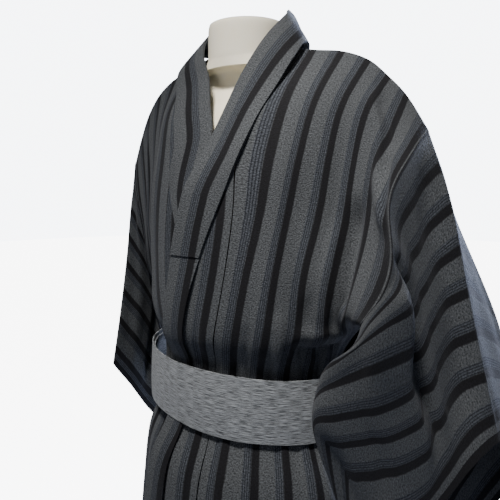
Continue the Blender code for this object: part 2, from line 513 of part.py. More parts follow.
def build():
    for obj in list(bpy.data.objects):
        bpy.data.objects.remove(obj)

    cotton = (0.09, 0.10, 0.11)
    linen = (0.78, 0.73, 0.62)
    grey = (0.50, 0.52, 0.53)

    left_panel = body_panel(LEFT_FRONT, LEFT_BACK, 1, 0.0)
    right_panel = body_panel(RIGHT_FRONT, RIGHT_BACK, -1, -UNDER_LAP)
    left_seam = armhole(left_panel, SHOULDER_ROW)
    right_seam = armhole(right_panel, SHOULDER_ROW)
    body_left = thicken("body_left", left_panel, CLOTH)
    paint(body_left, "striped_cotton_left", cotton, 0.9)
    body_right = thicken("body_right", right_panel, CLOTH)
    paint(body_right, "striped_cotton_right", cotton, 0.9)

    okumi_left = thicken("okumi_left", okumi_panel(front_rows(LEFT_FRONT, 1, 0.0), 1, 0.0), CLOTH)
    paint(okumi_left, "striped_cotton_okumi_left", cotton, 0.9)
    okumi_right = thicken("okumi_right", okumi_panel(front_rows(RIGHT_FRONT, -1, -UNDER_LAP), -1, -UNDER_LAP), CLOTH)
    paint(okumi_right, "striped_cotton_okumi_right", cotton, 0.9)

    sleeve_left = thicken("sleeve_left", sleeve_grid(LEFT_SLEEVE, left_seam, 0.27), CLOTH, loop=True)
    paint(sleeve_left, "striped_cotton_sleeve_left", cotton, 0.9)
    sleeve_right = thicken("sleeve_right", sleeve_grid(RIGHT_SLEEVE, right_seam, 0.05), CLOTH, loop=True)
    paint(sleeve_right, "striped_cotton_sleeve_right", cotton, 0.9)

    collar = thicken("collar", collar_grid(), COLLAR_WALL)
    paint(collar, "striped_cotton_collar", cotton, 0.9)
    over_collar = thicken("over_collar", collar_grid(0.0021, 1.135, 1.20), CLOTH)
    paint(over_collar, "striped_cotton_over_collar", cotton, 0.9)

    obi_under = band(OBI_BOTTOM + 0.004, OBI_TOP - 0.006, 0.1582, 0.1162, 0, 360, 49, 4, 0.004)[:, :-1]
    obi_under = thicken("obi_under", obi_under, OBI_WALL, loop=True)
    paint(obi_under, "grey_obi_under", grey, 0.7)
    obi = band(OBI_BOTTOM, OBI_TOP, 0.1611, 0.1191, 0, 360, 49, 5, 0.004)[:, :-1]
    obi = thicken("obi", obi, OBI_WALL, loop=True)
    paint(obi, "grey_obi", grey, 0.7)

    for name, grid in knot_pieces():
        paint(thicken(name, grid, OBI_WALL), "grey_" + name, grey, 0.7)

    form = rings("form_torso", FORM / 100, 32)
    paint(form, "form_linen", linen, 0.95)
    neck = rings("form_neck", NECK / 100, 24)
    paint(neck, "form_linen_neck", linen, 0.95)
    pole = rings("form_pole", [(BASE_HEIGHT + 0.0006, POLE_RADIUS, POLE_RADIUS),
                               (0.7192, POLE_RADIUS, POLE_RADIUS)], 16)
    paint(pole, "pole_steel", (0.55, 0.55, 0.56), 0.35)
    base = rings("form_base", [(0.0, BASE_RADIUS - 0.004, BASE_RADIUS - 0.004),
                               (0.003, BASE_RADIUS, BASE_RADIUS),
                               (BASE_HEIGHT - 0.004, BASE_RADIUS, BASE_RADIUS),
                               (BASE_HEIGHT, BASE_RADIUS - 0.005, BASE_RADIUS - 0.005)], 36)
    paint(base, "base_steel", (0.50, 0.50, 0.51), 0.4)


build()
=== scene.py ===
# Looks of the striped cotton yukata on its limbless dress form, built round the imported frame.
# Front is -Y, the wearer's left is +X, up is +Z. Tables are in centimetres, everything else in metres.
import math
import bpy
import numpy as np
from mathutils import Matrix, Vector


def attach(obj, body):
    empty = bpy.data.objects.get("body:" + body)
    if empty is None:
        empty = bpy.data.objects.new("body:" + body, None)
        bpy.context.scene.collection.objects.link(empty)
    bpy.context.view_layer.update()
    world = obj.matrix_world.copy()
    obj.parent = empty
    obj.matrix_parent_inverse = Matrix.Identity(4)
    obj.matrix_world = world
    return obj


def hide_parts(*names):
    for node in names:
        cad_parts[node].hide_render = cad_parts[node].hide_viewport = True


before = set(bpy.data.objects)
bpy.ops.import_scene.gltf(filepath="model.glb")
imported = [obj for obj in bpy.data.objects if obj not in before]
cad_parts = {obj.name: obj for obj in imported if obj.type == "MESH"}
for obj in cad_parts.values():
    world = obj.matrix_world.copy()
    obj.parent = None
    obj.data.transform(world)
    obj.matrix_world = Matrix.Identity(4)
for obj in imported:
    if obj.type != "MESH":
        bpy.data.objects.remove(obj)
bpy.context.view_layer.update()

frontWidth = 0.268        # okumi seam to sleeve seam, along the cloth
backWidth = 0.34          # centre back seam to sleeve seam
neckWidth = 0.266         # collar to sleeve seam along the shoulder
sleeveLength = 0.345      # sleeve seam to cuff edge
clothWall = 0.0009        # cotton, with its turned edges
collarLift = 0.0062       # how far the collar lies outside the front
underLap = 0.011          # how far the right front lies inside the left front
seamGap = 0.0006
hemHeight = 0.07
obiTop = 0.985
obiBottom = 0.905
obiMiddle = 0.95          # the robe is gathered towards this level
obiRound = 0.156          # mean radius of the belt
centreGap = 0.0004        # each body panel's distance from the centre back
bagRound = 0.98           # once round a sleeve bag, along the cloth
collarWall = 0.0014
overCollarWall = 0.0011
overCollarLift = 0.0021   # how far the second collar lies outside the first
underObiWall = 0.0016
obiWall = 0.0018
torsoBottom = 0.7192      # top end of the pole, inside the torso
sideBack = 95.15          # angle of the back's side seam, in degrees from the front
poleRadius = 0.0145
baseRadius = 0.17
baseHeight = 0.018
stripeRepeat = 0.046      # black stripe to black stripe along the cloth

# Outline of the left front layer: height, half width, half depth, in cm.
layerRows = np.array([
    [7.0, 22.0, 18.0],
    [35.0, 20.8, 16.8],
    [65.0, 19.2, 15.2],
    [80.0, 18.2, 14.2],
    [86.5, 17.3, 13.2],
    [90.4, 15.4, 11.2],
    [92.3, 14.88, 10.66],
    [98.8, 14.88, 10.66],
    [100.4, 15.6, 11.4],
    [102.6, 16.9, 12.8],
    [106.0, 17.6, 13.5],
    [111.0, 18.0, 13.3],
    [120.0, 18.6, 12.7],
    [125.0, 18.7, 12.1],
    [129.0, 18.7, 11.2],
    [135.0, 18.5, 8.5],
])

# Angles about the body, in degrees from the front towards the side, for one half of the robe:
# height in cm, okumi seam, free front edge, collar seam, side seam.
seamAngles = np.array([
    [7.0, 4.0, -38.0, -20.0, 95.0],
    [35.0, 5.0, -33.0, -18.0, 95.0],
    [65.0, 6.0, -28.0, -14.0, 95.0],
    [80.0, 7.0, -24.0, -10.0, 95.0],
    [92.0, 8.0, -21.0, -8.0, 95.0],
    [98.5, 10.0, -19.0, -5.0, 95.0],
    [104.0, 14.0, -13.0, -1.0, 95.0],
    [109.0, 17.0, -9.5, 2.5, 95.0],
    [113.0, 18.5, -7.5, 6.0, 95.0],
    [120.0, 20.5, -2.0, 14.0, 95.0],
    [123.8, 21.5, 2.0, 18.0, 95.0],
    [129.2, 23.0, 7.0, 21.0, 95.0],
])

warpLines = np.array([frontWidth, 0.238, 0.192, 0.146, 0.100, 0.054, 0.0])

# Left front above the obi, in cm: a row per level, a point per warp line
# (collar side, four chest lines, armpit line, sleeve seam).
leftFront = np.array([
    [[8.0, 0.0, 142.4], [11.3, 0.0, 141.6], [15.6, 0.0, 140.8], [19.3, 0.0, 139.2],
     [21.9, 0.0, 136.8], [24.2, 0.0, 134.2], [26.8, 0.0, 129.8]],
    [[7.4, -8.4, 134.0], [11.2, -7.0, 134.0], [14.6, -5.8, 133.6], [17.6, -4.4, 132.9],
     [20.4, -3.6, 132.0], [23.6, -2.8, 130.2], [26.4, -4.0, 127.4]],
    [[6.4, -11.1, 126.6], [10.6, -10.0, 126.0], [13.8, -8.4, 126.2], [16.9, -6.4, 126.5],
     [19.6, -5.2, 126.0], [22.4, -5.7, 125.0], [25.4, -9.5, 121.8]],
    [[6.6, -12.0, 120.2], [10.0, -10.9, 120.0], [13.0, -9.4, 120.2], [16.2, -7.4, 120.1],
     [19.0, -6.2, 119.6], [21.8, -6.7, 118.6], [26.4, -11.3, 115.6]],
    [[5.6, -12.8, 110.8], [8.4, -12.2, 110.9], [11.8, -10.9, 111.1], [14.8, -9.3, 111.1],
     [17.6, -7.9, 109.8], [19.8, -8.4, 108.8], [23.6, -12.4, 109.2]],
    [[4.4, -13.1, 104.4], [7.2, -12.5, 104.4], [10.8, -11.2, 104.4], [14.0, -9.2, 104.6],
     [16.4, -6.8, 104.8], [17.8, -4.2, 104.8], [18.5, -0.6, 104.8]],
])

# Right front above the obi, in the same order.
rightFront = np.array([
    [[-7.9, 0.3, 143.0], [-11.2, 0.0, 141.4], [-15.4, 0.0, 140.2], [-18.6, -0.3, 137.8],
     [-20.9, -0.6, 134.4], [-22.4, -0.8, 130.6], [-23.5, -1.0, 127.0]],
    [[-6.6, -8.0, 134.2], [-10.0, -6.7, 133.8], [-13.0, -5.2, 132.6], [-15.2, -4.4, 131.0],
     [-17.2, -3.9, 129.2], [-19.0, -3.6, 127.0], [-20.4, -3.9, 124.4]],
    [[-5.4, -10.3, 127.0], [-9.2, -8.9, 126.4], [-12.1, -7.3, 125.6], [-13.9, -6.1, 124.4],
     [-15.3, -5.4, 123.0], [-16.7, -5.1, 121.2], [-18.0, -5.3, 119.0]],
    [[-5.6, -11.3, 120.4], [-9.0, -10.0, 120.0], [-11.8, -8.4, 119.2], [-13.7, -6.9, 118.0],
     [-14.9, -6.0, 116.6], [-15.8, -5.5, 115.0], [-16.6, -5.3, 113.2]],
    [[-5.4, -11.9, 111.0], [-8.4, -10.6, 110.8], [-10.9, -8.8, 110.4], [-13.2, -6.7, 109.8],
     [-14.9, -5.1, 109.2], [-16.1, -4.3, 108.4], [-17.0, -3.8, 107.6]],
    [[-4.2, -12.1, 104.4], [-7.0, -11.2, 104.4], [-9.5, -9.8, 104.4], [-11.8, -8.1, 104.4],
     [-13.9, -6.1, 104.4], [-15.8, -3.6, 104.4], [-17.2, -0.6, 104.4]],
])

backLines = np.array([backWidth, 0.25, 0.16, 0.08, 0.0])

# Left back above the obi, in cm: centre back, three warp lines, sleeve seam.
leftBack = np.array([
    [[0.04, 1.0, 143.0], [8.3, 0.0, 142.2], [15.9, 0.0, 140.7], [22.9, 0.0, 135.8], [26.8, 0.0, 129.8]],
    [[0.04, 8.2, 142.0], [8.4, 6.4, 140.4], [16.2, 4.8, 138.0], [22.6, 3.8, 133.6], [26.2, 4.6, 126.8]],
    [[0.04, 11.4, 131.0], [9.0, 10.9, 130.6], [16.6, 9.4, 129.6], [22.2, 7.8, 126.6], [25.3, 9.0, 121.2]],
    [[0.04, 12.6, 119.0], [9.0, 12.4, 119.0], [16.6, 11.2, 118.4], [21.2, 9.6, 116.4], [24.4, 10.8, 113.4]],
    [[0.04, 12.8, 109.0], [8.4, 12.7, 109.0], [15.0, 11.7, 108.6], [19.4, 9.8, 107.8], [22.4, 8.2, 106.2]],
    [[0.04, 12.8, 104.0], [7.6, 12.1, 104.0], [14.2, 10.6, 103.6], [18.2, 7.6, 103.6], [19.8, 2.6, 104.0]],
])

# Right back above the obi: only the two outer lines differ from the left.
rightBack = leftBack * [-1.0, 1.0, 1.0]
rightBack[:, 3] = [[-21.4, -0.6, 133.4], [-21.2, 3.4, 131.0], [-20.8, 7.6, 125.2],
                    [-19.8, 9.6, 115.6], [-18.2, 9.2, 107.2], [-16.6, 6.2, 104.0]]
rightBack[:, 4] = [[-23.5, -1.0, 127.0], [-23.2, 3.6, 124.0], [-22.6, 8.0, 118.8],
                    [-21.8, 9.8, 111.8], [-20.2, 7.8, 105.4], [-17.8, 2.2, 104.4]]

sleeveLines = np.array([0.0, 0.09, 0.18, 0.27, sleeveLength])
sleeveRound = np.array([0.0, 5.0, 12.5, 19.0, 26.0, 34.0, 42.0, 49.0, 57.0, 66.0, 76.0, 86.0, 92.0])

# Left sleeve, in cm: a row per warp line from the sleeve seam to the cuff, and in each row the points
# round the bag: top fold, front (three), border, turned under (two), bottom, back (five).
leftSleeve = np.array([
    [[26.8, 0.0, 129.8], [26.4, -4.0, 127.4], [25.4, -9.5, 121.8], [26.4, -11.3, 115.6], [23.6, -12.4, 109.2],
     [22.0, -9.4, 102.5], [21.4, -4.6, 96.0], [21.8, 0.6, 92.0], [22.4, 5.6, 96.4],
     [23.0, 9.0, 104.5], [24.4, 10.8, 113.4], [25.3, 9.0, 121.2], [26.2, 4.6, 126.8]],
    [[29.2, 0.0, 120.6], [27.6, -4.4, 117.0], [26.7, -7.5, 114.4], [28.0, -10.2, 111.5], [24.7, -13.4, 108.0],
     [18.6, -12.2, 101.2], [20.6, -5.4, 91.0], [22.0, 1.0, 84.6], [23.4, 6.6, 90.0],
     [25.4, 11.6, 98.0], [28.2, 13.6, 107.0], [29.0, 10.0, 114.6], [28.8, 4.6, 118.8]],
    [[30.9, 0.0, 111.2], [29.1, -3.9, 108.9], [27.7, -6.6, 105.1], [27.1, -8.9, 101.6], [23.8, -11.9, 99.7],
     [18.3, -13.0, 97.4], [19.8, -7.0, 85.4], [21.6, 1.2, 77.6], [24.0, 7.4, 83.4],
     [27.0, 13.0, 91.0], [31.2, 14.8, 99.4], [32.2, 10.4, 106.6], [31.0, 4.6, 110.0]],
    [[32.7, 0.0, 102.2], [30.2, -3.3, 100.0], [29.3, -5.6, 97.5], [28.0, -7.1, 94.5], [24.3, -9.6, 92.6],
     [20.8, -10.2, 92.0], [20.6, -6.4, 77.4], [22.2, 1.4, 69.8], [25.0, 8.0, 76.0],
     [28.4, 13.4, 83.6], [33.0, 14.6, 91.6], [34.4, 9.6, 98.4], [33.2, 4.2, 101.2]],
    [[34.4, 0.0, 94.9], [32.5, -3.0, 93.1], [30.5, -4.9, 90.1], [27.8, -5.9, 86.2], [24.2, -7.9, 83.5],
     [22.8, -7.3, 81.3], [22.6, -4.6, 69.6], [23.4, 1.6, 62.6], [26.4, 8.2, 69.4],
     [30.2, 13.2, 76.8], [34.8, 13.8, 84.8], [36.4, 8.8, 91.8], [35.2, 3.6, 94.4]],
])

# Right sleeve, in the same order.
rightSleeve = np.array([
    [[-23.5, -1.0, 127.0], [-20.4, -3.9, 124.4], [-17.6, -5.4, 118.2], [-16.8, -5.0, 112.0], [-17.4, -3.4, 105.6],
     [-18.2, -0.6, 97.6], [-18.6, 3.6, 89.6], [-17.8, 8.6, 82.2], [-19.2, 12.2, 90.0],
     [-20.8, 12.6, 100.0], [-22.0, 10.4, 111.4], [-22.6, 8.0, 118.8], [-23.2, 3.6, 124.0]],
    [[-22.8, -3.0, 118.2], [-21.0, -2.6, 115.2], [-19.6, -1.4, 109.4], [-19.2, 1.2, 103.4], [-19.0, 4.6, 97.2],
     [-18.2, 9.2, 89.8], [-16.4, 13.4, 82.6], [-15.4, 16.6, 75.6], [-18.6, 18.2, 83.6],
     [-21.8, 17.2, 94.4], [-24.4, 13.4, 103.4], [-25.4, 7.4, 110.2], [-24.4, 2.4, 114.8]],
    [[-22.3, -4.4, 109.4], [-20.8, -2.4, 105.8], [-19.8, 1.0, 100.2], [-19.4, 4.6, 95.4], [-18.8, 8.8, 90.0],
     [-17.2, 13.2, 83.0], [-14.8, 16.8, 75.8], [-14.2, 18.8, 69.0], [-17.2, 19.2, 77.4],
     [-20.8, 17.8, 86.2], [-24.2, 13.0, 94.4], [-25.6, 5.2, 101.2], [-24.4, 0.2, 105.4]],
    [[-21.8, -6.2, 100.6], [-20.7, -3.8, 96.8], [-20.0, 0.2, 91.2], [-19.8, 4.2, 86.6], [-19.2, 8.8, 81.6],
     [-17.6, 13.4, 75.8], [-15.0, 17.0, 69.8], [-14.6, 19.0, 64.6], [-17.4, 18.8, 71.8],
     [-20.6, 16.4, 78.8], [-24.2, 10.8, 86.0], [-25.8, 3.6, 92.8], [-24.2, -1.2, 96.8]],
    [[-21.5, -7.8, 93.2], [-20.8, -5.0, 89.2], [-20.2, -1.0, 83.4], [-20.0, 3.2, 78.8], [-19.4, 7.8, 74.0],
     [-18.0, 12.6, 68.4], [-15.6, 16.4, 62.6], [-15.6, 18.6, 57.6], [-18.4, 18.4, 65.0],
     [-21.4, 15.2, 72.2], [-24.6, 9.2, 79.2], [-26.0, 2.0, 86.0], [-24.2, -2.8, 90.2]],
])

# Left half of the collar from the centre back to the V, in cm: free edge, sewn edge.
leftCollar = np.array([
    [[0.0, 7.6, 147.6], [0.0, 9.6, 142.9]],
    [[4.2, 6.9, 148.4], [5.2, 8.9, 143.3]],
    [[5.2, 3.3, 149.0], [7.8, 4.8, 142.8]],
    [[6.9, -0.2, 147.2], [9.9, 0.6, 142.9]],
    [[5.9, -4.0, 143.2], [10.2, -3.2, 140.2]],
    [[4.1, -6.6, 138.2], [9.5, -6.4, 136.0]],
    [[3.0, -8.1, 134.4], [8.5, -8.95, 132.2]],
    [[1.8, -10.1, 129.6], [7.3, -11.15, 127.6]],
])
rightCollar = np.array([
    [[0.0, 7.6, 147.6], [0.0, 9.6, 142.9]],
    [[-4.2, 6.9, 148.2], [-5.2, 8.9, 143.3]],
    [[-6.2, 3.6, 148.2], [-8.4, 5.6, 143.7]],
    [[-6.5, -0.2, 146.6], [-9.9, 0.6, 143.4]],
    [[-4.1, -5.2, 142.2], [-9.6, -4.4, 140.2]],
    [[-1.8, -6.7, 138.0], [-7.8, -7.0, 135.7]],
    [[-0.4, -8.1, 134.2], [-6.8, -9.0, 131.8]],
    [[1.2, -9.7, 129.2], [-5.6, -10.5, 127.4]],
])
# Below the V the collar lies flat on the front: height in cm, free edge angle, sewn edge angle.
collarFront = np.array([
    [121.5, -3.0, 15.5],
    [114.0, -7.5, 7.0],
    [108.0, -10.5, 2.0],
    [103.0, -14.0, -1.5],
    [98.5, -18.5, -5.0],
    [92.0, -21.0, -8.0],
    [86.0, -22.5, -9.5],
    [80.0, -24.0, -11.0],
])

# Dress form: height, half width, half depth, in cm.
formRows = np.array([
    [72.0, 14.6, 10.2],
    [73.0, 15.6, 11.2],
    [80.0, 16.4, 12.2],
    [86.0, 15.0, 10.8],
    [90.5, 12.8, 8.6],
    [100.0, 12.8, 8.6],
    [105.0, 14.2, 10.0],
    [112.0, 15.8, 10.9],
    [120.0, 16.6, 10.5],
    [127.0, 17.0, 9.4],
    [132.0, 17.0, 7.4],
    [135.2, 16.9, 5.2],
    [137.36, 16.2, 3.7],
    [138.52, 14.5, 3.7],
    [139.26, 11.8, 3.8],
    [139.76, 9.0, 4.8],
])
neckRows = np.array([
    [139.80, 7.2, 5.75],
    [141.0, 6.2, 5.75],
    [142.0, 5.9, 5.8],
    [145.6, 5.85, 5.85],
    [146.6, 5.7, 5.7],
])


def curve(xs, ys, at):
    """Hermite curve through rows ys at xs: a + b + c + d of the usual cubic,
    with slopes held under 2.5 times the least rise."""
    xs = np.asarray(xs, float)
    ys = np.asarray(ys, float)
    if xs[0] > xs[-1]:
        xs = xs[::-1]
        ys = ys[::-1]
    gap = np.diff(xs).reshape((-1,) + (1,) * (ys.ndim - 1))
    rise = np.diff(ys, axis=0) / gap
    slope = np.gradient(ys, xs, axis=0)
    least = np.minimum(np.abs(rise[:-1]), np.abs(rise[1:]))
    limit = np.where(rise[:-1] * rise[1:] > 0, 2.5 * least, least)
    slope[1:-1] = np.clip(slope[1:-1], -limit, limit)
    at = np.clip(np.asarray(at, float), xs[0], xs[-1])
    i = np.clip(np.searchsorted(xs, at, side="right") - 1, 0, len(xs) - 2)
    h = xs[i + 1] - xs[i]
    t = (at - xs[i]) / h
    wide = (...,) + (None,) * (ys.ndim - 1)
    a = (2 * t**3 - 3 * t**2 + 1)[wide]
    b = ((t**3 - 2 * t**2 + t) * h)[wide]
    c = (3 * t**2 - 2 * t**3)[wide]
    d = ((t**3 - t**2) * h)[wide]
    return a * ys[i] + b * slope[i] + c * ys[i + 1] + d * slope[i + 1]


def layerPoint(z, angle, off=0.0):
    """Front layer: x = (half width + off) sin angle, y = -(half depth + off) cos angle at height z."""
    half = curve(layerRows[:, 0] / 100, layerRows[:, 1:] / 100, z)
    a = np.radians(angle)
    x = (half[..., 0] + off) * np.sin(a)
    y = -(half[..., 1] + off) * np.cos(a)
    return np.stack([x, y, np.broadcast_to(z, x.shape)], axis=-1)


def places(points):
    """Running length of the mean line of a table of points."""
    step = np.linalg.norm(np.diff(points.mean(axis=1), axis=0), axis=1)
    return np.concatenate([[0.0], np.cumsum(step)])


def net(rows, columns, table, atRows, atColumns):
    """Curve down the rows, then a curve across each row at that row's own places."""
    order = np.argsort(columns)
    columns = np.asarray(columns)[order]
    byRow = curve(rows, table[:, order], atRows)
    return np.stack([curve(columns, byRow[i], atColumns[i]) for i in range(len(atRows))])


def eased(x):
    """Smooth step: 3x^2 - 2x^3 of x held between 0 and 1."""
    x = np.clip(x, 0, 1)
    return x * x * (3 - 2 * x)


def relaxed(grid, passes, loop=False):
    """Each pass moves a point half way to the mean of its neighbours, one direction after the other; edges stay."""
    grid = grid.copy()
    for _ in range(passes):
        grid[1:-1] = 0.5 * grid[1:-1] + 0.25 * (grid[:-2] + grid[2:])
        if loop:
            grid = 0.5 * grid + 0.25 * (np.roll(grid, 1, 1) + np.roll(grid, -1, 1))
        else:
            grid[:, 1:-1] = 0.5 * grid[:, 1:-1] + 0.25 * (grid[:, :-2] + grid[:, 2:])
    return grid


def normals(grid, loop=False):
    """Unit normals of a grid: cross product of its two differences, turned away from the middle of each row."""
    if loop:
        across = np.roll(grid, -1, 1) - np.roll(grid, 1, 1)
        middle = grid.mean(axis=1, keepdims=True)
    else:
        across = np.gradient(grid, axis=1)
        middle = grid * [0.0, 0.0, 1.0]
    out = np.cross(np.gradient(grid, axis=0), across)
    out /= np.linalg.norm(out, axis=2, keepdims=True) + 1e-12
    return out * np.sign(((grid - middle) * out).sum())


def creased(grid, across, along, folds, loop=False):
    """Adds soft ridges (height over 0) and troughs: height * exp(-(d / width)^2), faded at both ends.
    Each fold runs from (u0, v0) to (u1, v1) with its middle bowed sideways, in cm, and its height in mm."""
    lift = np.zeros(grid.shape[:2])
    for u0, v0, u1, v1, bow, width, height in folds:
        du, dv = u1 - u0, v1 - v0
        size = math.hypot(du, dv)
        x = across * 100 - u0
        y = along * 100 - v0
        if loop:
            y = (y + 50 * bagRound) % (100 * bagRound) - 50 * bagRound
        t = (x * du + y * dv) / size**2
        d = (x * dv - y * du) / size - bow * 4 * t * (1 - t)
        fade = eased(t / 0.3 + 0.25) * eased((1 - t) / 0.3 + 0.25)
        side = np.where(d > 0, 0.75, 1.25)
        lift += height / 1000 * np.exp(-(d / (width * side)) ** 2) * fade
    lift *= eased(across / 0.02)
    if not loop:
        lift *= eased((across[:, -1:] - across) / 0.02)
    return grid + normals(grid, loop) * lift[:, :, None]


def gathered(grid, across, along, level, reach, sizes):
    """Small pleats near a tied level: sum of size * sin(2 pi u / wave + turn), fading with distance from the level."""
    near = np.exp(-(np.abs(along - level) / reach) ** 1.5) * eased(np.abs(along - level) / 0.008)
    lift = sum(size * np.sin(2 * np.pi * (across + 0.02 * np.sin(9 * along + turn)) / wave + turn)
               for wave, size, turn in sizes)
    near = near * eased(across / 0.02) * eased((across[:, -1:] - across) / 0.02)
    return grid + normals(grid) * (near * lift)[:, :, None]


def shell(name, mid, wall, uv, loop=False):
    """Thin closed sheet: a grid of points moved half the wall each way along the normals, with rims round its edges."""
    n, m = mid.shape[:2]
    out = normals(mid, loop) * wall / 2
    points = np.concatenate([(mid + out).reshape(-1, 3), (mid - out).reshape(-1, 3)])
    steps = m if loop else m - 1
    i, j = np.meshgrid(np.arange(n - 1), np.arange(steps), indexing="ij")
    k = (j + 1) % m
    a, b, c, d = i * m + j, i * m + k, (i + 1) * m + k, (i + 1) * m + j
    front = np.stack([a, b, c, d], -1).reshape(-1, 4)
    back = front[:, ::-1] + n * m
    rims = []
    for e in (0, n - 1):
        j0 = np.arange(steps)
        rims.append(np.stack([e * m + j0, e * m + (j0 + 1) % m], -1))
    if not loop:
        for e in (0, m - 1):
            i0 = np.arange(n - 1)
            rims.append(np.stack([i0 * m + e, (i0 + 1) * m + e], -1))
    rim = np.concatenate([np.concatenate([r, r[:, ::-1] + n * m], axis=1) for r in rims])
    faces = np.concatenate([front, back, rim])
    uvs = np.concatenate([uv.reshape(-1, 2), uv.reshape(-1, 2)])
    corner = uvs[faces.reshape(-1)]
    if loop:
        corner = corner.reshape(-1, 4, 2)
        seam = corner[:, :, 1].max(axis=1) - corner[:, :, 1].min(axis=1) > 0.5
        corner[seam, :, 1] += np.where(corner[seam, :, 1] < 0.5, bagRound, 0.0)
        corner = corner.reshape(-1, 2)
    return meshObject(name, points, faces, corner)


def meshObject(name, points, faces, corner=None):
    """Object at the origin from arrays of points and four-cornered faces, smooth except where it turns sharply."""
    mesh = bpy.data.meshes.new(name)
    mesh.vertices.add(len(points))
    mesh.vertices.foreach_set("co", points.astype(np.float32).reshape(-1))
    mesh.loops.add(faces.size)
    mesh.loops.foreach_set("vertex_index", faces.astype(np.int32).reshape(-1))
    mesh.polygons.add(len(faces))
    mesh.polygons.foreach_set("loop_start", np.arange(0, faces.size, 4, dtype=np.int32))
    if corner is not None:
        layer = mesh.uv_layers.new(name="cut")
        layer.data.foreach_set("uv", corner.astype(np.float32).reshape(-1))
    mesh.update(calc_edges=True)
    mesh.validate()
    mesh.polygons.foreach_set("use_smooth", np.ones(len(mesh.polygons), dtype=bool))
    mesh.set_sharp_from_angle(angle=math.radians(62))
    made = bpy.data.objects.new(name, mesh)
    bpy.context.scene.collection.objects.link(made)
    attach(made, "root")
    return made


def turned(name, rows, around=96, fine=6):
    """Round body from rows of height, half width, half depth: a curve up the rows, capped at both ends."""
    rows = np.asarray(rows, float)
    rows = curve(np.arange(len(rows)), rows, np.linspace(0, len(rows) - 1, (len(rows) - 1) * fine + 1))
    a = np.linspace(0, 2 * np.pi, around, endpoint=False)
    z, w, d = rows[:, :1], rows[:, 1:2], rows[:, 2:3]
    ring = np.stack([w * np.sin(a), -d * np.cos(a), z + 0 * a], -1)
    low = ring[:1] * [0, 0, 1]
    high = ring[-1:] * [0, 0, 1]
    grid = np.concatenate([low + (ring[:1] - low) * 0.02, ring, high + (ring[-1:] - high) * 0.02])
    n, m = grid.shape[:2]
    i, j = np.meshgrid(np.arange(n - 1), np.arange(m), indexing="ij")
    k = (j + 1) % m
    faces = np.stack([i * m + j, i * m + k, (i + 1) * m + k, (i + 1) * m + j], -1).reshape(-1, 4)
    arc = np.stack([np.broadcast_to(a * rows[:, 1].max(), (n, m)), grid[:, :, 2]], -1)
    return meshObject(name, grid.reshape(-1, 3), faces, arc.reshape(-1, 2)[faces.reshape(-1)])


def linear(code):
    """sRGB hex to linear: c / 12.92 below 0.04045, else ((c + 0.055) / 1.055) ^ 2.4."""
    values = [int(code[i:i + 2], 16) / 255 for i in (1, 3, 5)]
    return tuple(c / 12.92 if c < 0.04045 else ((c + 0.055) / 1.055) ** 2.4 for c in values) + (1.0,)


def addNode(tree, kind, settings=None, inputs=None):
    """One shader node with its settings; an input is a constant, or another node's output to link."""
    made = tree.nodes.new(kind)
    for key, value in (settings or {}).items():
        setattr(made, key, value)
    for key, value in (inputs or {}).items():
        if isinstance(value, bpy.types.NodeSocket):
            tree.links.new(value, made.inputs[key])
        else:
            made.inputs[key].default_value = value
    return made


def sums(tree, kind, *values):
    """Output of a math node of that kind."""
    return addNode(tree, "ShaderNodeMath", {"operation": kind}, dict(enumerate(values))).outputs[0]


def mixed(tree, factor, a, b, kind="MIX"):
    """Colour a, with colour b laid over it by factor."""
    made = addNode(tree, "ShaderNodeMix", {"data_type": "RGBA", "blend_type": kind}, {0: factor, 6: a, 7: b})
    return made.outputs[2]


def ramp(tree, value, stops):
    """Grey value read from a table of place and level."""
    made = addNode(tree, "ShaderNodeValToRGB", None, {0: value})
    band = made.color_ramp
    while len(band.elements) < len(stops):
        band.elements.new(0.5)
    for element, (place, level) in zip(band.elements, stops):
        element.position = place
        element.color = (level, level, level, 1)
    return made.outputs[0]


def newMaterial(name):
    """Empty material with its tree, its main shader and its output joined."""
    made = bpy.data.materials.new(name)
    made.use_nodes = True
    tree = made.node_tree
    return made, tree, tree.nodes["Principled BSDF"]


# The crinkle strength below sets painted light and shade: it lightens the colour of the raised crinkles and darkens
# their hollows.
cottonLook = {
    "black": "#0e0e12", "plain": "#46494c", "pin": "#3d4147", "line": "#22252b",
    "crinkleShade": 1.25, "bump": 0.8,
}


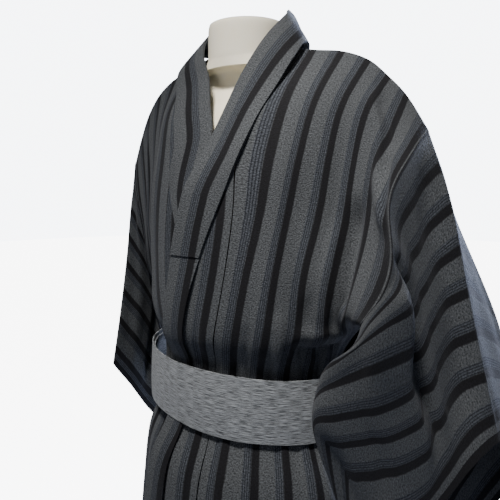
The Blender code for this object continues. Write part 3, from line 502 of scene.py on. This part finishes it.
def stripedCotton(name, phase, flip=1.0, edge=None):
    """Crepe cotton striped along the warp: black band, grey crinkled band and a zone of fine dark lines.
    place = fraction of (u - phase) / repeat; the bands are read from that place. Past the edge it is black. The
    crinkles' light and shade are painted into the colour: lighter where they are raised, darker in their hollows."""
    material, tree, shader = newMaterial(name)
    cut = addNode(tree, "ShaderNodeUVMap", {"uv_map": "cut"}).outputs[0]
    split = addNode(tree, "ShaderNodeSeparateXYZ", None, {0: cut})
    u, v = split.outputs[0], split.outputs[1]
    slow = addNode(tree, "ShaderNodeTexNoise", None, {"Vector": cut, "Scale": 60.0, "Detail": 2.0}).outputs[0]
    bent = sums(tree, "MULTIPLY_ADD", slow, 0.0012, u)
    place = sums(tree, "FRACT", sums(tree, "DIVIDE", sums(tree, "SUBTRACT", bent, phase + 0.0006), stripeRepeat * flip))
    black = ramp(tree, place, [(0.0, 1), (0.105, 1), (0.145, 0), (0.855, 0), (0.895, 1)])
    if edge:
        black = sums(tree, "MAXIMUM", black, sums(tree, "GREATER_THAN", u, edge))
    pin = ramp(tree, place, [(0.14, 0), (0.60, 0), (0.635, 1), (0.862, 1), (0.88, 0)])
    wave = sums(tree, "SINE", sums(tree, "MULTIPLY", bent, 2 * math.pi / 0.0031))
    lines = sums(tree, "MULTIPLY", ramp(tree, sums(tree, "MULTIPLY_ADD", wave, 0.5, 0.5), [(0.45, 0), (0.8, 1)]), pin)
    puckerAt = addNode(tree, "ShaderNodeCombineXYZ", None,
                       {0: sums(tree, "MULTIPLY", u, 420.0), 1: sums(tree, "MULTIPLY", v, 560.0)}).outputs[0]
    pucker = addNode(tree, "ShaderNodeTexNoise", None,
                     {"Vector": puckerAt, "Scale": 1.0, "Detail": 2.5, "Roughness": 0.6}).outputs[0]
    threadAt = addNode(tree, "ShaderNodeCombineXYZ", None,
                       {0: sums(tree, "MULTIPLY", u, 1700.0), 1: sums(tree, "MULTIPLY", v, 160.0)}).outputs[0]
    thread = addNode(tree, "ShaderNodeTexNoise", None, {"Vector": threadAt, "Scale": 1.0, "Detail": 1.0}).outputs[0]
    # Crinkle relief: it drives the bump and also the painted light and shade of the crinkles in the colour.
    crinkleReliefAndShade = ramp(tree, pucker, [(0.33, 0), (0.67, 1)])
    colour = mixed(tree, pin, linear(cottonLook["plain"]), linear(cottonLook["pin"]))
    colour = mixed(tree, lines, colour, linear(cottonLook["line"]))
    colour = mixed(tree, black, colour, linear(cottonLook["black"]))
    # Painted light and shade of the crinkles: the colour is lightened where the crinkle relief is high and darkened
    # where it is low, then varied by the thread streaks.
    shade = sums(tree, "MULTIPLY_ADD", crinkleReliefAndShade, cottonLook["crinkleShade"], 1.0 - cottonLook["crinkleShade"] / 2)
    shade = sums(tree, "MULTIPLY", shade, sums(tree, "MULTIPLY_ADD", thread, 0.4, 0.8))
    grey = addNode(tree, "ShaderNodeCombineColor", None, {0: shade, 1: shade, 2: shade}).outputs[0]
    colour = mixed(tree, 1.0, colour, grey, "MULTIPLY")
    height = sums(tree, "MULTIPLY_ADD", crinkleReliefAndShade, sums(tree, "MULTIPLY_ADD", black, -0.6, 1.0),
                  sums(tree, "MULTIPLY", thread, 0.3))
    bump = addNode(tree, "ShaderNodeBump", None, {"Height": height, "Distance": 0.0007, "Strength": cottonLook["bump"]})
    tree.links.new(colour, shader.inputs["Base Color"])
    tree.links.new(bump.outputs[0], shader.inputs["Normal"])
    shader.inputs["Roughness"].default_value = 0.88
    shader.inputs["Specular IOR Level"].default_value = 0.25
    shader.inputs["Sheen Weight"].default_value = 0.12
    shader.inputs["Sheen Roughness"].default_value = 0.45
    shader.inputs["Sheen Tint"].default_value = linear("#b8bcc4")
    return material


obiLook = {"light": "#979ca0", "dark": "#222528", "long": 60.0, "high": 1500.0}


def slubbedSilk(name):
    """Grey ribbed obi cloth: streaks long round the waist and about 1.5 mm high, light over dark, with a low rib."""
    material, tree, shader = newMaterial(name)
    cut = addNode(tree, "ShaderNodeUVMap", {"uv_map": "cut"}).outputs[0]
    split = addNode(tree, "ShaderNodeSeparateXYZ", None, {0: cut})
    at = addNode(tree, "ShaderNodeCombineXYZ", None,
                 {0: sums(tree, "MULTIPLY", split.outputs[0], obiLook["high"]),
                  1: sums(tree, "MULTIPLY", split.outputs[1], obiLook["long"])}).outputs[0]
    streak = addNode(tree, "ShaderNodeTexNoise", None,
                     {"Vector": at, "Scale": 1.0, "Detail": 3.0, "Roughness": 0.7}).outputs[0]
    level = ramp(tree, streak, [(0.38, 0), (0.58, 1)])
    colour = mixed(tree, level, linear(obiLook["dark"]), linear(obiLook["light"]))
    bump = addNode(tree, "ShaderNodeBump", None, {"Height": level, "Distance": 0.0004, "Strength": 0.6})
    tree.links.new(colour, shader.inputs["Base Color"])
    tree.links.new(bump.outputs[0], shader.inputs["Normal"])
    shader.inputs["Roughness"].default_value = 0.6
    shader.inputs["Sheen Weight"].default_value = 0.15
    return material


def plainLinen(name, code):
    """Cream linen on the form: a fine weave and a slow mottle, half of each, from two noises."""
    material, tree, shader = newMaterial(name)
    at = addNode(tree, "ShaderNodeTexCoord").outputs["Object"]
    mottle = addNode(tree, "ShaderNodeTexNoise", None, {"Vector": at, "Scale": 45.0, "Detail": 4.0}).outputs[0]
    weave = addNode(tree, "ShaderNodeTexNoise", None, {"Vector": at, "Scale": 900.0, "Detail": 1.0}).outputs[0]
    level = sums(tree, "MULTIPLY_ADD", mottle, 0.5, sums(tree, "MULTIPLY", weave, 0.5))
    colour = mixed(tree, level, linear(code), linear("#fffcf2"))
    bump = addNode(tree, "ShaderNodeBump", None, {"Height": weave, "Distance": 0.0003, "Strength": 0.5})
    tree.links.new(colour, shader.inputs["Base Color"])
    tree.links.new(bump.outputs[0], shader.inputs["Normal"])
    shader.inputs["Roughness"].default_value = 0.9
    return material


def satinSteel(name, code, roughness):
    """Turned steel: a little uneven in its polish."""
    material, tree, shader = newMaterial(name)
    at = addNode(tree, "ShaderNodeTexCoord").outputs["Object"]
    worn = addNode(tree, "ShaderNodeTexNoise", None, {"Vector": at, "Scale": 30.0, "Detail": 4.0}).outputs[0]
    tree.links.new(sums(tree, "MULTIPLY_ADD", worn, 0.2, roughness - 0.1), shader.inputs["Roughness"])
    shader.inputs["Base Color"].default_value = linear(code)
    shader.inputs["Metallic"].default_value = 1.0
    return material


def frontRows(table, side, off):
    """All levels of a front from the hem up to the shoulder: layer points below the obi, the table above it."""
    levels = np.array([hemHeight, 0.20, 0.35, 0.50, 0.65, 0.78, 0.86, 0.905, 0.925, 0.955, 0.985])
    seam = curve(seamAngles[:, 0] / 100, seamAngles[:, 1:], levels)
    angle = seam[:, :1] + (seam[:, 3:] - seam[:, :1]) * (1 - warpLines / frontWidth)
    low = layerPoint(np.broadcast_to(levels[:, None], angle.shape), angle * side, off)
    return np.concatenate([low, table[::-1] / 100])


def backRows(table, side, off):
    """All levels of a back from the shoulder down to the hem."""
    levels = np.array([0.985, 0.955, 0.925, 0.905, 0.86, 0.78, 0.65, 0.50, 0.35, 0.20, hemHeight])
    angle = 180 - (180 - sideBack) * (1 - backLines / backWidth)
    low = layerPoint(levels[:, None] + 0 * angle, (angle + 0 * levels[:, None]) * side, off)
    low[:, 0, 0] = centreGap * side
    return np.concatenate([table / 100, low])


def bodyPanel(frontTable, backTable, side, off, frontFolds, backFolds, waist):
    """Grid and cut of one body panel, from the front hem over the shoulder to the back hem, with its folds."""
    front = frontRows(frontTable, side, off)
    back = backRows(backTable, side, off)
    wide = np.linspace(0.0, 1.0, 100)
    atFront = places(front)
    atBack = places(back)
    fRows = np.linspace(0, atFront[-1], 230)
    bRows = np.linspace(0, atBack[-1], 200)
    fInner = np.interp(fRows, [atFront[-3], atFront[-1]], [frontWidth - seamGap, neckWidth])
    bInner = np.interp(bRows, [0, 0.025, 0.05], [neckWidth, backWidth - 0.025, backWidth])
    fAcross = fInner[:, None] * wide
    bAcross = bInner[:, None] * wide
    fGrid = relaxed(net(atFront, warpLines, front, fRows, fAcross), 8)
    bGrid = relaxed(net(atBack, backLines, back, bRows, bAcross), 8)
    fGrid = gathered(fGrid, fAcross, fGrid[:, :, 2], obiMiddle, 0.10, waist)
    bGrid = gathered(bGrid, bAcross, bGrid[:, :, 2], obiMiddle, 0.10, waist)
    fGrid = creased(fGrid, fAcross, fGrid[:, :, 2], frontFolds)
    bGrid = creased(bGrid, bAcross, bGrid[:, :, 2], backFolds)
    grid = np.concatenate([fGrid, bGrid[1:]])
    uv = np.stack([np.concatenate([fAcross, bAcross[1:]]),
                   np.broadcast_to(np.concatenate([fRows, bRows[1:] + fRows[-1]])[:, None], grid.shape[:2])], -1)
    return grid, uv, len(fRows) - 1


def okumiPanel(front, side, off, folds, waist):
    """Grid and cut of one overlap panel, from the okumi seam to the front edge."""
    at = places(front)
    seam = curve(at, front[:, 0], np.linspace(0, at[-1], 400))
    heights = np.linspace(hemHeight, 1.272, 220)
    s = curve(seamAngles[:, 0] / 100, seamAngles[:, 1:], heights)
    inner = s[:, 1] + (np.minimum(s[:, 2] - 2.0, s[:, 0] - 2.2) - s[:, 1]) * np.clip((heights - 0.86) / 0.09, 0, 1)
    sewn = np.stack([np.interp(heights, seam[:, 2], seam[:, k]) for k in range(3)], axis=1)
    half = curve(layerRows[:, 0] / 100, layerRows[:, 1:] / 100, heights) + off
    outer = np.degrees(np.arctan2(sewn[:, 0] * side / half[:, 0], -sewn[:, 1] / half[:, 1])) - 0.3
    t = np.linspace(0.0, 1.0, 50)
    angle = outer[:, None] + (inner - outer)[:, None] * t
    grid = layerPoint(np.broadcast_to(heights[:, None], angle.shape), angle * side, off)
    bend = sewn - layerPoint(heights, (outer + 0.3) * side, off)
    grid = grid + bend[:, None] * ((1 - t) ** 2)[None, :, None]
    wide = np.cumsum(np.linalg.norm(np.diff(grid, axis=1), axis=2), axis=1)
    across = np.concatenate([0 * wide[:, :1], wide], axis=1)
    grid = gathered(grid, across, grid[:, :, 2], obiMiddle, 0.10, waist)
    grid = creased(grid, across, grid[:, :, 2], folds)
    return grid, np.stack([across, np.broadcast_to(heights[:, None], across.shape)], -1)


def armhole(panel, shoulder):
    """Sleeve seam of a body panel, with its running length, down the front and down the back."""
    edges = []
    for points in (panel[:shoulder + 1, 0][::-1], panel[shoulder:, 0]):
        length = np.concatenate([[0.0], np.cumsum(np.linalg.norm(np.diff(points, axis=0), axis=1))])
        edges.append((length, points))
    return edges


def sleeveGrid(table, edges, sewnFront, folds, n=120, m=330):
    """Grid and cut of one sleeve bag from its seam to the cuff: curves along the warp lines and round the bag."""
    lines = np.linspace(0.0, sleeveLength, n)
    lines[0] = seamGap
    whole = 100 * bagRound
    roundAt = np.concatenate([sleeveRound[-3:] - whole, sleeveRound, sleeveRound[:3] + whole]) / 100
    at = np.linspace(0, bagRound, m, endpoint=False)

    def bag(along):
        byLine = curve(sleeveLines, table / 100, along)
        looped = np.concatenate([byLine[:, -3:], byLine, byLine[:, :3]], axis=1)
        return np.stack([curve(roundAt, row, at) for row in looped])

    grid = relaxed(bag(lines), 6, loop=True)
    first = grid[0]
    shift = np.zeros_like(first)
    for (length, points), away, sewnTo in zip(edges, (at, bagRound - at), (sewnFront, 0.27)):
        sewn = np.clip((sewnTo - away) / 0.04, 0, 1)
        target = np.stack([np.interp(away, length, points[:, k]) for k in range(3)], axis=1)
        shift += (target - first) * sewn[:, None] * np.where(away == at, 1.0, at > 0)[:, None]
    fade = np.clip(1 - (lines - seamGap) / 0.06, 0, 1) ** 2
    side = np.sign(table[0, 0, 0])
    front = np.sin(np.pi * np.clip(at / (0.14 + 0.74 * sewnFront), 0, 1))[:, None]
    behind = np.sin(np.pi * np.clip((bagRound - at) / 0.34, 0, 1))[:, None]
    shift += front * np.array([0.0012 * side, -0.0010, 0.0]) + behind * np.array([0.0012 * side, 0.0010, 0.0])
    grid = grid + shift * fade[:, None, None]
    across = np.broadcast_to(lines[:, None], grid.shape[:2])
    along = np.broadcast_to(at, grid.shape[:2])
    grid = creased(grid, across, along, folds, loop=True)
    return grid, np.stack([across, along], -1)


def collarHalf(table, side, off):
    """Free and sewn edge of half the collar, from the centre back to its front end."""
    heights = np.linspace(collarFront[0, 0], collarFront[-1, 0], 40) / 100
    angles = curve(collarFront[:, 0] / 100, collarFront[:, 1:], heights) * side
    seated = off - (collarLift - overCollarLift) * np.clip((heights - 1.10) / 0.04, 0, 1)
    half = curve(layerRows[:, 0] / 100, layerRows[:, 1:] / 100, heights)
    turn = np.radians(angles[:, 1])
    sewn = np.stack([(half[:, 0] + seated) * np.sin(turn), -(half[:, 1] + seated) * np.cos(turn), heights], axis=1)
    low = np.stack([layerPoint(heights, angles[:, 0], off), sewn], axis=1)
    return np.concatenate([table / 100, low])


def collarGrid(lift=0.0, leftEnd=None, rightEnd=None, puff=0.0012):
    """Grid and cut of the collar from its left front end round the neck to the right one, puffed along its middle."""
    left = collarHalf(leftCollar, 1, collarLift)
    right = collarHalf(rightCollar, -1, collarLift - underLap)
    line = np.concatenate([left[::-1], right[1:]])
    at = places(line)
    n = int(round(at[-1] / 0.004)) + 1
    rows = curve(at, line, np.linspace(0, at[-1], n))
    t = np.linspace(0.0, 1.0, 22)[None, :, None]
    grid = rows[:, :1] * (1 - t) + rows[:, 1:] * t
    normal = np.cross(np.gradient(grid, axis=0), np.gradient(grid, axis=1))
    normal /= np.linalg.norm(normal, axis=2, keepdims=True)
    normal *= np.sign((normal * (grid * [1.0, 1.0, 0.0])).sum(axis=2).sum())
    grid = grid + normal * (lift + puff * (np.sin(np.pi * t) ** 0.6))
    width = np.linalg.norm(rows[:, 1] - rows[:, 0], axis=1)
    along = np.broadcast_to(np.linspace(0, at[-1], n)[:, None], grid.shape[:2])
    uv = np.stack([width[:, None] * t[0, :, 0], along], -1)
    if leftEnd is None:
        return grid, uv
    height = grid[:, 0, 2]
    first = next(i for i in range(n) if height[i] > leftEnd)
    last = next(i for i in range(n - 1, n // 2, -1) if height[i] > rightEnd)
    return grid[first:last + 1], uv[first:last + 1]


def band(low, high, halfWidth, halfDepth, rise, uneven):
    """Grid and cut of one turn of the belt; both edges wander by uneven."""
    a = np.linspace(0, 2 * np.pi, 360, endpoint=False)
    f = np.linspace(0, 1, 22)[:, None]
    wander = uneven * (np.sin(3 * a + 1.0) + 0.6 * np.sin(7 * a) + 0.4 * np.sin(13 * a + 2.0))
    z = low + (high - low) * f + rise * np.cos(a) + wander * np.sin(np.pi * (f * 0.8 + 0.1)) * (2 * f - 1)
    bulge = 0.0009 * np.sin(np.pi * f) + 0.0005 * np.sin(5 * a + 3 * f)
    x = (halfWidth + bulge) * np.sin(a)
    y = -(halfDepth + bulge) * np.cos(a)
    grid = np.stack([x, y, z], -1)
    uv = np.stack([np.broadcast_to(f * (high - low), x.shape), np.broadcast_to(a * obiRound, x.shape)], -1)
    return grid, uv


def strip(path, across, half):
    """Grid and cut of a strip: a smooth path widened by half to each side."""
    path = np.array(path, float) / 100
    side = np.array(across, float)
    side /= np.linalg.norm(side)
    at = np.concatenate([[0.0], np.cumsum(np.linalg.norm(np.diff(path, axis=0), axis=1))])
    spots = np.linspace(0, at[-1], 90)
    line = curve(at, path, spots)
    t = np.linspace(-1.0, 1.0, 24)
    grid = line[:, None] + side * half * t[:, None]
    size = grid.shape[:2]
    return grid, np.stack([np.broadcast_to(half * t, size), np.broadcast_to(spots[:, None], size)], -1)


def finishPiece(made, node, material):
    """The piece stands for its CAD node and takes its material."""
    made.data.materials.append(material)
    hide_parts(node)
    return made


# Folds, in cm with heights in mm: u0, v0, u1, v1, bow, width, height.
# On fronts and backs u is the distance from the sleeve seam and v the height above the floor.
leftFrontFolds = [
    (11.2, 135.0, 5.4, 126.4, 0.4, 0.8, 5.5),
    (9.4, 134.5, 3.6, 127.0, 0.3, 0.7, -4.5),
    (5.8, 127.5, 0.8, 118.0, -0.3, 0.9, 6.0),
    (4.0, 127.0, -0.6, 119.0, 0.2, 0.8, -5.0),
    (8.0, 121.5, 7.2, 106.5, 0.3, 1.6, -15.0),
    (10.9, 119.0, 10.2, 105.0, -0.3, 1.2, 4.0),
    (13.6, 135.0, 12.8, 112.0, 0.8, 1.4, -2.2),
    (17.5, 128.0, 15.6, 106.0, -0.6, 1.7, -2.0),
    (21.4, 124.0, 20.0, 104.0, 0.7, 1.5, 1.8),
    (13.5, 110.0, 12.6, 100.0, -0.4, 1.2, -4.0),
    (15.5, 105.0, 4.0, 105.2, 0.2, 1.0, 5.0),
    (14.6, 102.6, 3.0, 102.4, 0.0, 0.9, -8.0),
    (18.0, 108.0, 17.0, 99.6, 0.3, 1.3, 3.4),
    (22.5, 106.0, 22.0, 100.0, 0.2, 1.0, -2.6),
    (24.0, 90.0, 23.0, 60.0, 0.6, 1.8, 3.0),
    (17.0, 90.0, 18.5, 40.0, -0.8, 2.2, -4.0),
    (10.0, 90.0, 8.5, 50.0, 0.8, 2.0, 4.4),
]
rightFrontFolds = [
    (12.0, 134.0, 8.0, 114.0, 0.8, 1.2, 3.0),
    (17.5, 132.0, 15.0, 108.0, -0.6, 1.2, -3.0),
    (22.0, 128.0, 20.0, 104.0, 0.5, 1.0, 2.6),
    (18.0, 112.0, 17.0, 99.5, 0.3, 1.2, -3.0),
    (6.0, 90.0, 8.0, 52.0, 0.7, 2.2, 3.6),
    (14.0, 90.0, 15.0, 40.0, -0.5, 2.0, -3.4),
    (24.0, 89.5, 21.0, 80.0, 0.6, 1.0, 3.6),
    (26.0, 87.5, 17.0, 81.5, -0.8, 0.8, 3.0),
]
leftBackFolds = [
    (12.0, 136.0, 8.0, 112.0, 0.8, 2.0, -3.0),
    (22.0, 124.0, 18.0, 102.0, -0.6, 2.4, 2.6),
    (29.0, 116.0, 27.0, 100.0, 0.5, 2.0, -2.0),
    (26.0, 90.0, 27.5, 46.0, 0.6, 2.4, 3.0),
    (15.0, 90.0, 13.0, 40.0, -0.8, 2.6, -3.0),
]
rightBackFolds = [
    (11.0, 134.0, 9.0, 110.0, -0.7, 2.2, -2.6),
    (20.0, 122.0, 17.0, 102.0, 0.8, 2.0, 2.6),
    (28.0, 112.0, 28.5, 100.0, -0.4, 1.8, -2.0),
    (27.0, 90.0, 25.5, 52.0, -0.6, 2.0, 3.0),
    (13.0, 90.0, 15.0, 40.0, 0.7, 2.6, -3.2),
]
okumiFolds = [
    (3.0, 90.0, 4.0, 62.0, 0.5, 1.0, 3.2),
    (6.5, 90.5, 6.0, 70.0, -0.6, 0.9, -3.4),
    (10.0, 88.0, 9.0, 30.0, -0.5, 2.0, -2.6),
]
waistPleats = [(0.031, 0.0016, 0.4), (0.047, 0.0013, 2.0), (0.019, 0.0006, 1.1)]

# On sleeves u is the distance from the sleeve seam and v the distance round the bag from the top fold.
leftSleeveFolds = [
    (1.0, 0.0, 34.0, 0.0, 0.0, 0.6, 4.0),
    (2.0, 3.6, 33.0, 3.0, 0.5, 1.7, -8.0),
    (0.5, 18.5, 30.0, 12.5, 1.2, 1.5, -10.0),
    (4.0, 13.5, 32.0, 8.0, 0.8, 2.2, 3.0),
    (1.0, 22.5, 31.0, 16.5, 1.0, 1.5, 5.0),
    (3.0, 27.5, 32.0, 24.0, -0.8, 1.8, -4.0),
    (4.0, 31.0, 33.0, 31.0, 0.6, 1.8, 3.5),
    (3.0, 70.0, 33.0, 66.0, 0.9, 2.2, -5.0),
    (3.0, 80.0, 33.0, 77.0, -0.7, 2.0, 4.5),
    (12.0, 88.0, 33.0, 86.0, 0.5, 1.6, -3.0),
]
rightSleeveFolds = [
    (3.0, 5.5, 33.0, 5.0, 0.6, 1.6, 5.0),
    (2.0, 11.0, 33.0, 10.0, -0.8, 1.6, -8.8),
    (4.0, 17.0, 33.0, 15.5, 0.7, 1.6, 8.8),
    (4.0, 24.0, 33.0, 22.0, 0.6, 1.6, -11.2),
    (6.0, 31.0, 33.0, 30.0, -0.5, 1.7, 11.2),
    (6.0, 37.0, 33.0, 37.0, 0.5, 1.5, -10.0),
    (6.0, 55.5, 33.0, 54.0, 0.5, 1.6, -10.0),
    (6.0, 62.0, 33.0, 60.5, 0.5, 1.7, 11.2),
    (4.0, 70.0, 33.0, 68.0, 0.7, 1.7, -12.5),
    (4.0, 77.0, 33.0, 76.0, 0.7, 1.6, 11.2),
    (4.0, 84.0, 33.0, 85.0, -0.6, 1.6, -10.0),
    (5.0, 91.0, 33.0, 91.0, 0.4, 1.4, 6.2),
]

# Body panels: 34 cm of the bolt across the back, folded down to the okumi seam in front.
leftPanel, leftCut, leftTop = bodyPanel(leftFront, leftBack, 1, 0.0, leftFrontFolds, leftBackFolds, waistPleats)
rightPanel, rightCut, rightTop = bodyPanel(rightFront, rightBack, -1, -underLap,
                                           rightFrontFolds, rightBackFolds, waistPleats)
bodyLeft = finishPiece(shell("robeBodyLeft", leftPanel, clothWall, leftCut), "body_left",
                       stripedCotton("crepeCottonLeft", 0.008, -1.0))
bodyRight = finishPiece(shell("robeBodyRight", rightPanel, clothWall, rightCut), "body_right",
                        stripedCotton("crepeCottonRight", 0.012))
print("body panels done")

# Overlap panels.
leftOkumi, leftOkumiCut = okumiPanel(frontRows(leftFront, 1, 0.0), 1, 0.0, okumiFolds, waistPleats)
rightOkumi, rightOkumiCut = okumiPanel(frontRows(rightFront, -1, -underLap), -1, -underLap, okumiFolds, waistPleats)
okumiLeft = finishPiece(shell("robeOkumiLeft", leftOkumi, clothWall, leftOkumiCut), "okumi_left",
                        stripedCotton("crepeCottonOkumiLeft", 0.016, -1.0))
okumiRight = finishPiece(shell("robeOkumiRight", rightOkumi, clothWall, rightOkumiCut), "okumi_right",
                         stripedCotton("crepeCottonOkumiRight", 0.016))
print("overlap panels done")

# Sleeves: closed bags, open at the cuff, with a black band at the cuff edge.
leftBag, leftBagCut = sleeveGrid(leftSleeve, armhole(leftPanel, leftTop), 0.27, leftSleeveFolds)
rightBag, rightBagCut = sleeveGrid(rightSleeve, armhole(rightPanel, rightTop), 0.05, rightSleeveFolds)
sleeveLeft = finishPiece(shell("robeSleeveLeft", leftBag, clothWall, leftBagCut, loop=True), "sleeve_left",
                         stripedCotton("crepeCottonSleeveLeft", 0.044, edge=0.335))
sleeveRight = finishPiece(shell("robeSleeveRight", rightBag, clothWall, rightBagCut, loop=True), "sleeve_right",
                          stripedCotton("crepeCottonSleeveRight", 0.044, -1.0, 0.335))
print("sleeves done")

# Collar and the second collar over it.
neckBand, neckBandCut = collarGrid()
collarPiece = finishPiece(shell("robeCollar", neckBand, collarWall, neckBandCut), "collar",
                          stripedCotton("crepeCottonCollar", 0.036))
overBand, overBandCut = collarGrid(overCollarLift, 1.135, 1.15)
overPiece = finishPiece(shell("robeOverCollar", overBand, overCollarWall, overBandCut), "over_collar",
                        stripedCotton("crepeCottonOverCollar", 0.036))
print("collars done")

# Belt: two turns and the flat knot behind.
obiCloth = slubbedSilk("slubbedObi")
underTurn, underCut = band(obiBottom + 0.004, obiTop - 0.006, 0.1582, 0.1162, 0.004, 0.0004)
outerTurn, outerCut = band(obiBottom, obiTop, 0.1611, 0.1191, 0.004, 0.0010)
finishPiece(shell("obiUnderTurn", underTurn, underObiWall, underCut, loop=True),
            "obi_under", obiCloth)
finishPiece(shell("obiOuterTurn", outerTurn, obiWall, outerCut, loop=True), "obi", obiCloth)
wrap = strip([[0.8, 11.9, 100.0], [0.7, 12.19, 98.6], [0.4, 12.19, 95.5], [0.1, 12.19, 92.6],
              [-0.3, 12.15, 90.8], [-0.6, 11.9, 89.8]], [1.0, 0.0, 0.14], 0.038)
raised = strip([[-3.6, 12.46, 93.8], [-1.6, 12.46, 95.4], [0.6, 12.5, 97.2], [3.0, 13.0, 99.4],
                [5.6, 14.2, 101.8], [8.4, 14.6, 104.4]], [0.66, 0.0, -0.75], 0.045)
looped = strip([[1.2, 13.22, 96.4], [-2.5, 13.24, 95.6], [-6.5, 13.1, 94.6], [-10.2, 12.3, 93.4],
                [-12.4, 11.9, 92.6], [-12.2, 12.9, 92.5], [-7.6, 14.3, 93.8], [-1.4, 14.7, 95.4]],
               [0.12, 0.0, 1.0], 0.043)
for name, node, made in (("obiKnotWrap", "obi_knot_wrap", wrap), ("obiKnotEnd", "obi_knot_end", raised),
                         ("obiKnotLoop", "obi_knot_loop", looped)):
    finishPiece(shell(name, made[0], obiWall, made[1]), node, obiCloth)
print("belt done")

# Form: padded torso and neck under linen, steel pole and round base.
finishPiece(turned("formTorso", formRows / 100), "form_torso",
            plainLinen("creamLinen", "#fbeec6"))
finishPiece(turned("formNeck", neckRows / 100, 72), "form_neck",
            plainLinen("creamLinenNeck", "#fdf3d2"))
poleRows = [[baseHeight + seamGap, poleRadius, poleRadius], [torsoBottom, poleRadius, poleRadius]]
finishPiece(turned("formPole", poleRows, 40, 2), "form_pole",
            satinSteel("brushedPole", "#a9abad", 0.32))
baseRows = [[0.0, baseRadius - 0.004, baseRadius - 0.004],
            [0.003, baseRadius, baseRadius],
            [baseHeight - 0.004, baseRadius, baseRadius],
            [baseHeight, baseRadius - 0.005, baseRadius - 0.005]]
finishPiece(turned("formBase", baseRows, 120, 3), "form_base",
            satinSteel("satinBase", "#9b9da0", 0.4))
print("form done")

# Studio: pale floor and air, a soft spot from high in front on the chest, a weak fill, a cooler light from behind.
# Floor and air look white to the camera alone, so that they light the cloth little.
studio = {"air": "#eef2f8", "key": 500.0, "fill": 7.0, "cool": 160.0, "sky": 0.08}


def softLight(name, azimuth, elevation, distance, size, power, code, aim=(0.0, 0.0, 1.1), cone=None):
    """Soft light aimed at a spot: x = distance sin a cos e, y = -distance cos a cos e, z = distance sin e from it.
    It is a square, or with a cone in degrees a round light that fades towards the cone's edge."""
    lamp = bpy.data.lights.new(name, "SPOT" if cone else "AREA")
    if cone:
        lamp.spot_size = math.radians(cone)
        lamp.spot_blend = 1.0
        lamp.shadow_soft_size = size / 2
    else:
        lamp.shape = "SQUARE"
        lamp.size = size
    lamp.energy = power
    lamp.color = linear(code)[:3]
    made = bpy.data.objects.new(name, lamp)
    a, e = math.radians(azimuth), math.radians(elevation)
    aim = np.array(aim)
    back = np.array([math.sin(a) * math.cos(e), -math.cos(a) * math.cos(e), math.sin(e)])
    made.location = aim + back * distance
    made.rotation_mode = "QUATERNION"
    made.rotation_quaternion = Vector(-back).to_track_quat("-Z", "Y")
    bpy.context.scene.collection.objects.link(made)


softLight("keyLight", 8, 60, 2.2, 0.5, studio["key"], "#fffaf4", (0.12, -0.09, 1.28), 22)
softLight("fillLight", 4, 14, 2.4, 1.2, studio["fill"], "#f4f6ff")
softLight("coolLight", 166, 22, 2.2, 1.0, studio["cool"], "#d4e0ff")
floorMesh = bpy.data.meshes.new("studioFloor")
ring = [(9 * math.cos(t), 9 * math.sin(t), 0.0) for t in np.linspace(0, 2 * math.pi, 64, endpoint=False)]
floorMesh.from_pydata(ring, [], [tuple(range(64))])
floor = bpy.data.objects.new("studioFloor", floorMesh)
bpy.context.scene.collection.objects.link(floor)
floorPaint, floorTree, floorShader = newMaterial("palePaper")
floorShader.inputs["Base Color"].default_value = linear("#c9c9c9")
floorShader.inputs["Roughness"].default_value = 0.9
floorShader.inputs["Emission Color"].default_value = (1, 1, 1, 1)
floorSeen = addNode(floorTree, "ShaderNodeLightPath").outputs["Is Camera Ray"]
floorTree.links.new(sums(floorTree, "MULTIPLY", floorSeen, 8.0), floorShader.inputs["Emission Strength"])
floorMesh.materials.append(floorPaint)
world = bpy.data.worlds.new("paleAir")
bpy.context.scene.world = world
world.use_nodes = True
airTree = world.node_tree
air = airTree.nodes["Background"]
air.inputs[0].default_value = linear(studio["air"])
seen = addNode(airTree, "ShaderNodeLightPath").outputs["Is Camera Ray"]
airTree.links.new(sums(airTree, "MULTIPLY_ADD", seen, 8.0, studio["sky"]), air.inputs[1])

# Camera at the photo's place: level, with the frame shifted down and across to the picture's crop.
lens = bpy.data.cameras.new("photoCamera")
camera = bpy.data.objects.new("photoCamera", lens)
bpy.context.scene.collection.objects.link(camera)
bpy.context.scene.camera = camera
lens.sensor_width = 36.0
lens.lens = 35.64
lens.shift_x = 0.006
lens.shift_y = -0.16
camera.location = (0.4408, -0.6068, 1.25)
camera.rotation_euler = (math.radians(90), 0.0, math.radians(36))
print("studio done")
